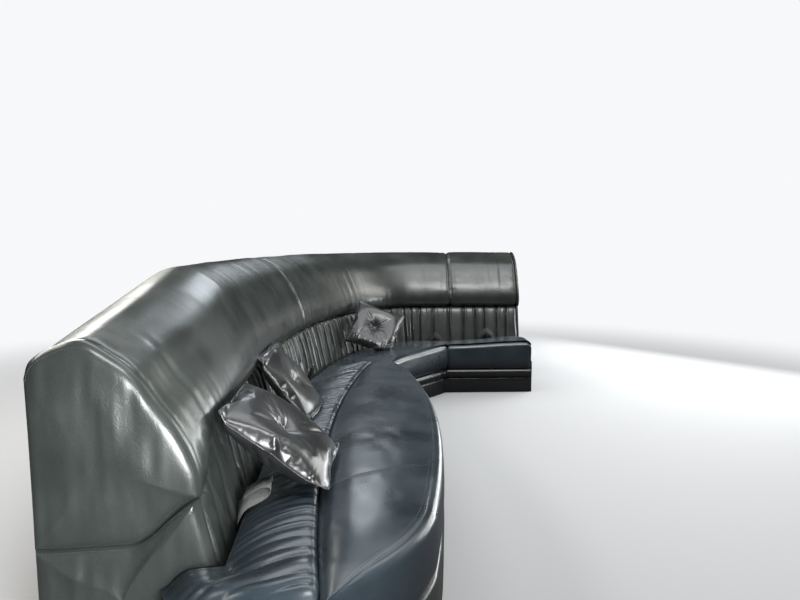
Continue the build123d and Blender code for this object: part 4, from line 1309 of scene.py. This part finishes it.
seat_surface = support_tree()
for name, size, fullness, stiffness, *place in CUSHIONS:
    points, faces, top = pillow_start(size, fullness)
    points = blow_up(points, faces, stiffness)
    points, faces, normals = finer_mesh(points, faces)
    points = creased(points, normals, name, size)
    middle, (down, across, out) = cushion_frame(*place)
    placed = middle + points[:, :1] * down + points[:, 1:2] * across + points[:, 2:] * out
    placed = settled(placed, faces, points[:, 2], out, seat_surface)
    cushion = new_piece("cushion_" + name, placed, faces, cushion_leather, 120)
    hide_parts("scatter_cushion_" + name)
    rim = np.concatenate([top[:-1, 0], top[-1, :-1], top[:0:-1, -1], top[0, :0:-1]])
    line = placed[rim]
    for _ in range(PIPING_ROUNDS):
        line = (np.roll(line, 1, 0) + 2 * line + np.roll(line, -1, 0)) / 4
    rings = tube(line, PIPING_RADIUS)
    piping = new_piece("piping_" + name, rings.reshape(-1, 3), closed_tube_faces(*rings.shape[:2]),
                       cushion_leather, 120)
    knot = placed[np.argmin(np.hypot(points[:, 0], points[:, 1]) - (points[:, 2] > 0))]
    a = np.linspace(0, 2 * math.pi, 20, endpoint=False)[:, None]
    button = [knot + out * lift + (down * np.cos(a) + across * np.sin(a)) * reach for lift, reach in TUFT]
    tuft = ring_piece("tuft_" + name, button, cushion_leather, 60)

# Topstitching: rows of bonded black thread that lie in the leather, a stitch every few
# millimetres, along the wing's seams, the leaf's rim and the seat's inner seams.
STITCH_INPUTS = (
    # name, kind, usual value and range
    ("Row", "Geometry"), ("Spacing", "Float", 0.005, 0.002, 0.02),
    ("Stitch Length", "Float", 0.0036, 0.001, 0.02), ("Thread Radius", "Float", 0.0004, 0.0001, 0.002),
    ("Thread", "Material"),
)
RIM_ROWS = (0.0075, 0.0150)
JOIN_ROW = 0.0065


def build_stitch_nodes():
    """The node group that lays beads of thread along a row."""
    tree, given, out = new_group("stitch_row", "GeometryNodeTree", STITCH_INPUTS, (("Stitches", "Geometry"),))

    def step(kind, feeds=None, **settings):
        return add_node(tree, kind, feeds, **settings).outputs[0]

    curve = step("GeometryNodeMeshToCurve", {"Mesh": given["Row"]})
    spaced = step("GeometryNodeResampleCurve", {"Curve": curve, "Length": given["Spacing"]}, mode="LENGTH")
    turn = step("FunctionNodeAlignRotationToVector", {"Vector": step("GeometryNodeInputTangent")}, axis="X")
    bead = step("GeometryNodeMeshUVSphere", {"Segments": 8, "Rings": 5, "Radius": 1.0})
    half = compute(tree, "MULTIPLY", given["Stitch Length"], 0.5)
    size = step("ShaderNodeCombineXYZ", {"X": half, "Y": given["Thread Radius"], "Z": given["Thread Radius"]})
    beads = step("GeometryNodeInstanceOnPoints",
                 {"Points": spaced, "Instance": bead, "Rotation": turn, "Scale": size})
    real = step("GeometryNodeRealizeInstances", {"Geometry": beads})
    feed(out, {"Stitches": step("GeometryNodeSetMaterial", {"Geometry": real, "Material": given["Thread"]})})
    return tree


STITCH_NODES = build_stitch_nodes()
stitch_thread, tree, shader = new_material("stitch_thread")
ply = noise(tree, own_place(tree), 1400.0)
feed(shader, {"Base Color": between(tree, ply, (0.0, (0.016, 0.016, 0.017)), (1.0, (0.110, 0.112, 0.115))),
              "Normal": bumped(tree, ply, 0.5, 0.0002), "Roughness": 0.40})


def stitch_row(name, line, spacing=0.0052, length=0.0038, radius=0.00045, thread=stitch_thread):
    """A row of stitches, or of staples' crowns, along a line of points."""
    mesh = bpy.data.meshes.new(name)
    mesh.from_pydata(np.asarray(line).tolist(), [(i, i + 1) for i in range(len(line) - 1)], [])
    row = bpy.data.objects.new(name, mesh)
    bpy.context.collection.objects.link(row)
    nodes_on = row.modifiers.new("stitch_row", "NODES")
    nodes_on.node_group = STITCH_NODES
    values = {"Spacing": spacing, "Stitch Length": length, "Thread Radius": radius, "Thread": thread}
    for item in STITCH_NODES.interface.items_tree:
        if item.name in values:
            nodes_on[item.identifier] = values[item.name]
    made = bpy.data.meshes.new_from_object(row.evaluated_get(bpy.context.evaluated_depsgraph_get()))
    row.modifiers.remove(nodes_on)
    row.data = made
    if not made.materials:
        made.materials.append(thread)
    made.polygons.foreach_set("use_smooth", [True] * len(made.polygons))
    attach(row, "root")


def leaf_line(inset, lift=0.0003):
    """A line on the leaf's top at a distance in from its rim, from near the nose to the tip."""
    rows = []
    for i in range(14, leaf_u - 6):
        share = 1 - inset / leaf_wide[i]
        flat = leaf_seam[i] + (leaf_rim[i] - leaf_seam[i]) * share
        rows.append((*flat, np.interp(share, leaf_rows, leaf_z[i]) + lift))
    return np.array(rows)


def join_line(beside, lift=0.0004):
    """A line on the leaf's top beside the seam that joins its two hides."""
    rows = []
    for x in np.linspace(-0.235, 0.062, 120):
        run = x - JOIN_START[0]
        y = JOIN_START[1] + JOIN_SLOPE * run - JOIN_BOW * (run / 0.2) ** 2 + beside
        place, _, _, _ = seat_surface.ray_cast(Vector((x, y, 0.6)), Vector((0, 0, -1)))
        if place and place.z > LEAF_SEAM_TOP:
            rows.append((x, y, place.z + lift))
    return np.array(rows)


for name, line in (("join_near", join_line(-JOIN_ROW)), ("join_far", join_line(JOIN_ROW)),
                   ("rim_outer", leaf_line(RIM_ROWS[0])), ("rim_inner", leaf_line(RIM_ROWS[1])),
                   ("wing_roll", wing_rows["roll"]), ("wing_cross", wing_rows["cross"]),
                   ("wing_cross_low", wing_rows["cross_low"])):
    stitch_row("stitches_" + name, line)

# Staples: wire staples, shot through the leather's flap into the back boards to hold it. Only
# their crowns show.
STAPLE_INSET = 0.012
STAPLE_ABOVE_EDGE = 0.010
STAPLE_SPACING = 0.036
STAPLE_CROWN = 0.0105
STAPLE_RADIUS = 0.0005
staple_wire, tree, shader = new_material("staple_wire")
dull = noise(tree, own_place(tree), 60.0, 4.0)
feed(shader, {"Metallic": 1.0, "Roughness": spread(tree, dull, 0.0, 1.0, 0.25, 0.5),
              "Base Color": between(tree, dull, (0.35, (0.30, 0.30, 0.30)), (0.65, (0.62, 0.61, 0.59)))})
staple_line = on_backrest(np.linspace(STAPLE_INSET, S_END - STAPLE_INSET, 400), FLAP_OUT - 0.0002,
                          FLAP_END + STAPLE_ABOVE_EDGE)
stitch_row("flap_staples", staple_line, STAPLE_SPACING, STAPLE_CROWN, STAPLE_RADIUS, staple_wire)

# Lap belts: grey polyester webbing that comes out of the gap behind the seat. One end is
# folded double, one carries a moulded buckle and two lie in a loop over the rear seats.
WEB_THICK = 0.0017
WEB_RIM = ((-0.5, 0.0), (-0.485, 0.5), (0.485, 0.5), (0.5, 0.0), (0.485, -0.5), (-0.485, -0.5))
WEB_RIBS = (("X", 11.0), ("Y", 900.0))


def build_webbing(name, low, high):
    """Woven belt: lengthwise ribs and close weft threads, its colour painted darker down in the weave's grooves
    and lighter on the ribs (painted shade).
    """
    material, tree, shader = new_material(name)
    weave = shade(tree, "Attribute", out="Vector", attribute_name="weave")
    split = add_node(tree, "ShaderNodeSeparateXYZ", {0: weave}).outputs
    along_it, across_it = (compute(tree, "SINE", compute(tree, "MULTIPLY", split[axis], count * 2 * math.pi))
                           for axis, count in WEB_RIBS)
    height = compute(tree, "MULTIPLY_ADD", across_it, 0.35, along_it)
    # Painted shade: the colour follows the weave's height, dark in its grooves and light on its ribs.
    colour = between(tree, spread(tree, height, -1.35, 1.35), (0.0, low), (1.0, high))
    feed(shader, {"Normal": bumped(tree, height, 0.6, 0.0004), "Base Color": colour, "Roughness": 0.55})
    return material


belt_webbing = build_webbing("belt_webbing", (0.050, 0.050, 0.052), (0.200, 0.198, 0.195))
loop_webbing = build_webbing("loop_webbing", (0.008, 0.008, 0.009), (0.034, 0.034, 0.036))


def webbing(name, line, wide, width, material, node):
    """A flat belt along a line of points, with the way its width runs at each of them."""
    line, wide = np.asarray(line, float), np.asarray(wide, float)
    for _ in range(4):
        line, wide = (np.concatenate([rows[:1], np.repeat((rows[:-1] + rows[1:]) / 2, 2, 0) * 0.5
                                      + np.repeat(rows, 2, 0)[1:-1] * 0.5, rows[-1:]]) for rows in (line, wide))
    wide = unit(wide)
    flat = unit(np.cross(unit(np.gradient(line, axis=0)), wide))
    rings = np.stack([line + wide * width * a + flat * WEB_THICK * b for a, b in WEB_RIM], 1)
    piece = ring_piece(name, rings, material, 80)
    run = np.concatenate([[0], np.cumsum(np.linalg.norm(np.diff(line, axis=0), axis=1))])
    weave = piece.data.attributes.new("weave", "FLOAT_VECTOR", "POINT")
    place = np.zeros((len(piece.data.vertices), 3))
    for k, (a, b) in enumerate(WEB_RIM):
        place[k::len(WEB_RIM), 0] = a
        place[k::len(WEB_RIM), 1] = run
    weave.data.foreach_set("vector", place.ravel())
    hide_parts(node)


def seat_height(s, n):
    """Height of the dressed seat under a place near the backrest line."""
    x, y, _ = on_backrest(s, n, 0.0)
    place, _, _, _ = seat_surface.ray_cast(Vector((x, y, 0.60)), Vector((0, 0, -1)))
    return place.z if place else 0.0


def belt_place(node):
    """Place along the backrest line and foot height of a belt's CAD node."""
    low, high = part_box(node)
    middle = (low + high) / 2
    s = np.linspace(0, S_END, 4000)
    x, y, h = along(s)
    i = int(np.argmin(np.hypot(x - middle.x, y - middle.y)))
    return s[i], low.z, np.array((np.sin(h[i]), np.cos(h[i]), 0.0))


UP = np.array((0.0, 0.0, 1.0))
STRAP_WIDE = 0.046
STRAP_PATH = (
    # out from the line, lift over the seat, share of the width that stands up
    (0.048, -0.020, 0.7), (0.062, 0.012, 0.7), (0.086, 0.024, 0.7), (0.108, 0.034, 0.65), (0.119, 0.042, 0.5),
    (0.122, 0.050, 0.3), (0.116, 0.053, 0.1), (0.100, 0.050, 0.05), (0.080, 0.040, 0.05), (0.064, 0.028, 0.1),
)
s_at, foot_z, way = belt_place("belt_strap_side")
seat_at = max(seat_height(s_at + ds, n) for ds in (-0.02, 0, 0.02) for n in (0.09, 0.105, 0.12))
line = [on_backrest(s_at, n, max(foot_z, seat_at - 0.012) + z) for n, z, _ in STRAP_PATH]
webbing("belt_strap", line, [way * math.sqrt(1 - t * t) + UP * t for _, _, t in STRAP_PATH],
        STRAP_WIDE, belt_webbing, "belt_strap_side")

LOOP_WIDE = 0.038
LOOP_PATH = (
    # along the seat, out from the line, lift over its foot
    (-0.046, 0.060, -0.022), (-0.026, 0.066, -0.002), (-0.008, 0.073, 0.0125), (0.000, 0.0755, 0.0165),
    (0.008, 0.073, 0.0125), (0.026, 0.066, -0.002), (0.046, 0.060, -0.022),
)
for name, node in (("belt_loop_corner", "belt_tongue_corner"), ("belt_loop_rear", "belt_tongue_rear")):
    s_at, foot_z, way = belt_place(node)
    into_room = np.cross(way, UP)
    line = [on_backrest(s_at + s, n, foot_z + z) for s, n, z in LOOP_PATH]
    webbing(name, line, [UP * 0.92 - into_room * 0.35] * len(line), LOOP_WIDE, loop_webbing, node)

# Buckle: a moulded plastic housing with a steel catch plate in its mouth. It leans out of the
# gap behind the seat.
buckle_plastic, tree, shader = new_material("buckle_plastic")
grain = noise(tree, own_place(tree), 900.0, 3.0)
feed(shader, {"Base Color": spread(tree, grain, 0.0, 1.0, 0.012, 0.024), "Roughness": 0.38,
              "Normal": bumped(tree, grain, 0.3, 0.0002)})
buckle_steel, tree, shader = new_material("buckle_steel")
brushed = noise(tree, own_place(tree), 250.0, distortion=1.5)
feed(shader, {"Roughness": spread(tree, brushed, 0.0, 1.0, 0.14, 0.30), "Base Color": (0.72, 0.73, 0.75, 1),
              "Metallic": 1.0})

BUCKLE_LEAN = 0.38
BUCKLE_OUT = 0.070
BUCKLE_RAISED = 0.014
BUCKLE_SIZE = (0.034, 0.020)
BUCKLE_LIFTS = (
    # height over its foot, share of the width, share of the depth
    (-0.010, 0.55, 0.35), (0.000, 0.62, 0.45), (0.008, 0.80, 0.70), (0.016, 0.96, 0.92), (0.030, 1.0, 1.0),
    (0.046, 1.0, 1.0), (0.053, 0.97, 0.94), (0.0565, 0.90, 0.82), (0.0575, 0.74, 0.52), (0.0572, 0.70, 0.42),
    (0.0545, 0.69, 0.40), (0.0500, 0.68, 0.38), (0.0500, 0.40, 0.20), (0.0500, 0.10, 0.05),
)
PLATE_LIFTS = (
    (0.0502, 0.60, 0.10), (0.0502, 0.62, 0.13), (0.0660, 0.62, 0.13), (0.0664, 0.58, 0.10),
    (0.0664, 0.10, 0.04),
)


def moulded(name, lifts, material):
    """A leaning moulding at the buckle's place, from rounded oblong outlines at a row of heights."""
    s_at, foot_z, _ = belt_place("belt_buckle_side")
    a = np.linspace(0, 2 * math.pi, 48, endpoint=False)
    square = (np.abs(np.cos(a)) ** 4 + np.abs(np.sin(a)) ** 4) ** -0.25
    rings = []
    for lift, wide, deep in lifts:
        s = s_at + np.cos(a) * square * BUCKLE_SIZE[0] / 2 * wide
        n = BUCKLE_OUT + lift * BUCKLE_LEAN + np.sin(a) * square * BUCKLE_SIZE[1] / 2 * deep
        rings.append(on_backrest(s, n, foot_z + BUCKLE_RAISED + lift))
    piece = ring_piece(name, rings, material, 40)
    return piece


body = moulded("belt_buckle", BUCKLE_LIFTS, buckle_plastic)
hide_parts("belt_buckle_side")
moulded("buckle_plate", PLATE_LIFTS, buckle_steel)

# Plywood: the frame's boards are birch ply, sealed thinly, with the plies showing on edges.
# The back and band boards are bent round the corner, and the rest are flat.
GRAIN_UPRIGHT = (30.0, 30.0, 1.5)
GRAIN_FLAT = (30.0, 1.5, 30.0)
LIES_FLAT = 0.6
plywood, tree, shader = new_material("birch_plywood")
place = own_place(tree)
facing_way = shade(tree, "NewGeometry", out="Normal")
level = compute(tree, "ABSOLUTE", shade(tree, "SeparateXYZ", {0: facing_way}, "Z"))
upright = shade(tree, "Mapping", {"Vector": place, "Scale": GRAIN_UPRIGHT})
flat = shade(tree, "Mapping", {"Vector": place, "Scale": GRAIN_FLAT})
stretch = blend(tree, compute(tree, "GREATER_THAN", level, LIES_FLAT), upright, flat, data_type="VECTOR")
grain = noise(tree, stretch, 3.0, 6.0, 0.35)
face = between(tree, grain, (0.32, (0.47, 0.33, 0.19)), (0.68, (0.60, 0.46, 0.29)))
plies = shade(tree, "TexWave", {"Vector": place, "Scale": 120.0, "Distortion": 0.4}, "Color",
              wave_type="BANDS", bands_direction="Z")
edged = blend(tree, spread(tree, level, 0.2, 0.8, 0.0, 0.12), face, plies, blend_type="MULTIPLY")
feed(shader, {"Base Color": edged, "Normal": bumped(tree, grain, 0.25, 0.0006),
              "Roughness": spread(tree, grain, 0.0, 1.0, 0.5, 0.72)})

# Floor brackets: steel angles in black paint, a little worn, that bolt the seat's base to the
# vehicle's floor.
bracket_paint, tree, shader = new_material("black_bracket_paint")
place = own_place(tree)
orange = noise(tree, place, 700.0)
wear = noise(tree, place, 40.0, 6.0)
feed(shader, {"Base Color": between(tree, wear, (0.45, (0.018, 0.018, 0.019)), (0.75, (0.065, 0.063, 0.060))),
              "Normal": bumped(tree, orange, 0.2, 0.0003), "Roughness": 0.42})
FINISHES = (("back_board", plywood), ("band_board", plywood), ("deck", plywood), ("base_rib", plywood),
            ("front_board", plywood), ("floor_brackets", bracket_paint))
for node_name, node in frame["nodes"].items():
    for start, finish in FINISHES:
        if node_name.startswith(start):
            for place in node.material_slots:
                place.material = finish

# Floor, backdrop and light: a pale studio with broad soft lamps from both sides and above.
# Only the camera sees the floor pale. To other rays it is dark, so it lights nothing from below.
FLOOR_COLOUR = (0.46, 0.46, 0.47, 1)
FLOOR_UNSEEN = (0.06, 0.06, 0.065, 1)
BACKDROP = (0.93, 0.94, 0.95, 1)
FADE = (1.6, 4.2)
SKY = 0.15
NEAR_SPREAD = 110
bpy.ops.mesh.primitive_plane_add(size=40.0, location=(0, 0, 0))
floor = bpy.context.object
floor.name = "studio_floor"
paint, tree, shader = new_material("studio_floor")
place = own_place(tree)
seen = shade(tree, "LightPath", out="Is Camera Ray")
away = shade(tree, "VectorMath", {0: place}, "Value", operation="LENGTH")
fade = compute(tree, "MULTIPLY", spread(tree, away, *FADE, soft=True), seen)
feed(shader, {"Base Color": blend(tree, seen, FLOOR_UNSEEN, FLOOR_COLOUR), "Roughness": 0.9})
pale = shade(tree, "Emission", {"Color": BACKDROP})
feed(tree.nodes["Material Output"],
     {"Surface": shade(tree, "MixShader", {"Fac": fade, 1: shader.outputs[0], 2: pale})})
floor.data.materials.append(paint)
world = bpy.data.worlds.new("studio")
world.use_nodes = True
bpy.context.scene.world = world
tree = world.node_tree
sky = feed(tree.nodes["Background"], {"Strength": SKY})
plain = shade(tree, "Background", {"Color": BACKDROP})
seen = shade(tree, "LightPath", out="Is Camera Ray")
feed(tree.nodes["World Output"],
     {"Surface": shade(tree, "MixShader", {"Fac": seen, 1: sky.outputs[0], 2: plain})})

LAMPS = (
    # name, place, aim, size x, size y, power, colour
    ("window_left", (-2.4, 0.6, 2.0), (0.0, 0.2, 0.4), 3.4, 1.0, 75.0, (1.0, 0.99, 0.94)),
    ("window_right", (2.3, 1.6, 0.62), (0.2, -0.2, 0.3), 2.6, 0.5, 46.0, (0.93, 0.98, 1.0)),
    ("right_mid", (2.2, 1.2, 1.5), (-0.2, 0.3, 0.5), 2.2, 0.7, 30.0, (1.0, 0.99, 0.95)),
    ("ceiling", (0.1, 0.1, 2.6), (0.0, 0.1, 0.3), 1.4, 3.2, 46.0, (0.94, 0.98, 1.0)),
    ("rear_mid", (-0.35, 1.6, 1.75), (-0.3, -1.2, 0.3), 0.7, 0.4, 6.0, (0.86, 0.94, 1.0)),
    ("near_top", (1.2, -2.4, 3.5), (0.2, 0.8, 0.6), 2.0, 1.0, 100.0, (1.0, 1.0, 0.98)),
    ("near_low", (0.25, -2.62, 0.58), (-1.4, -1.9, 0.5), 0.8, 0.5, 62.0, (0.97, 1.0, 1.0)),
)
for name, place, aim, wide, high, power, colour in LAMPS:
    lamp = bpy.data.lights.new(name, "AREA")
    lamp.shape = "RECTANGLE"
    lamp.size = wide
    lamp.size_y = high
    lamp.energy = power
    lamp.color = colour
    lamp.spread = math.radians(NEAR_SPREAD if name == "near_low" else 180)
    holder = bpy.data.objects.new(name, lamp)
    holder.visible_camera = False
    holder.location = place
    holder.rotation_euler = (Vector(aim) - Vector(place)).to_track_quat("-Z", "Y").to_euler()
    bpy.context.collection.objects.link(holder)

bpy.context.scene.view_settings.view_transform = "Standard"
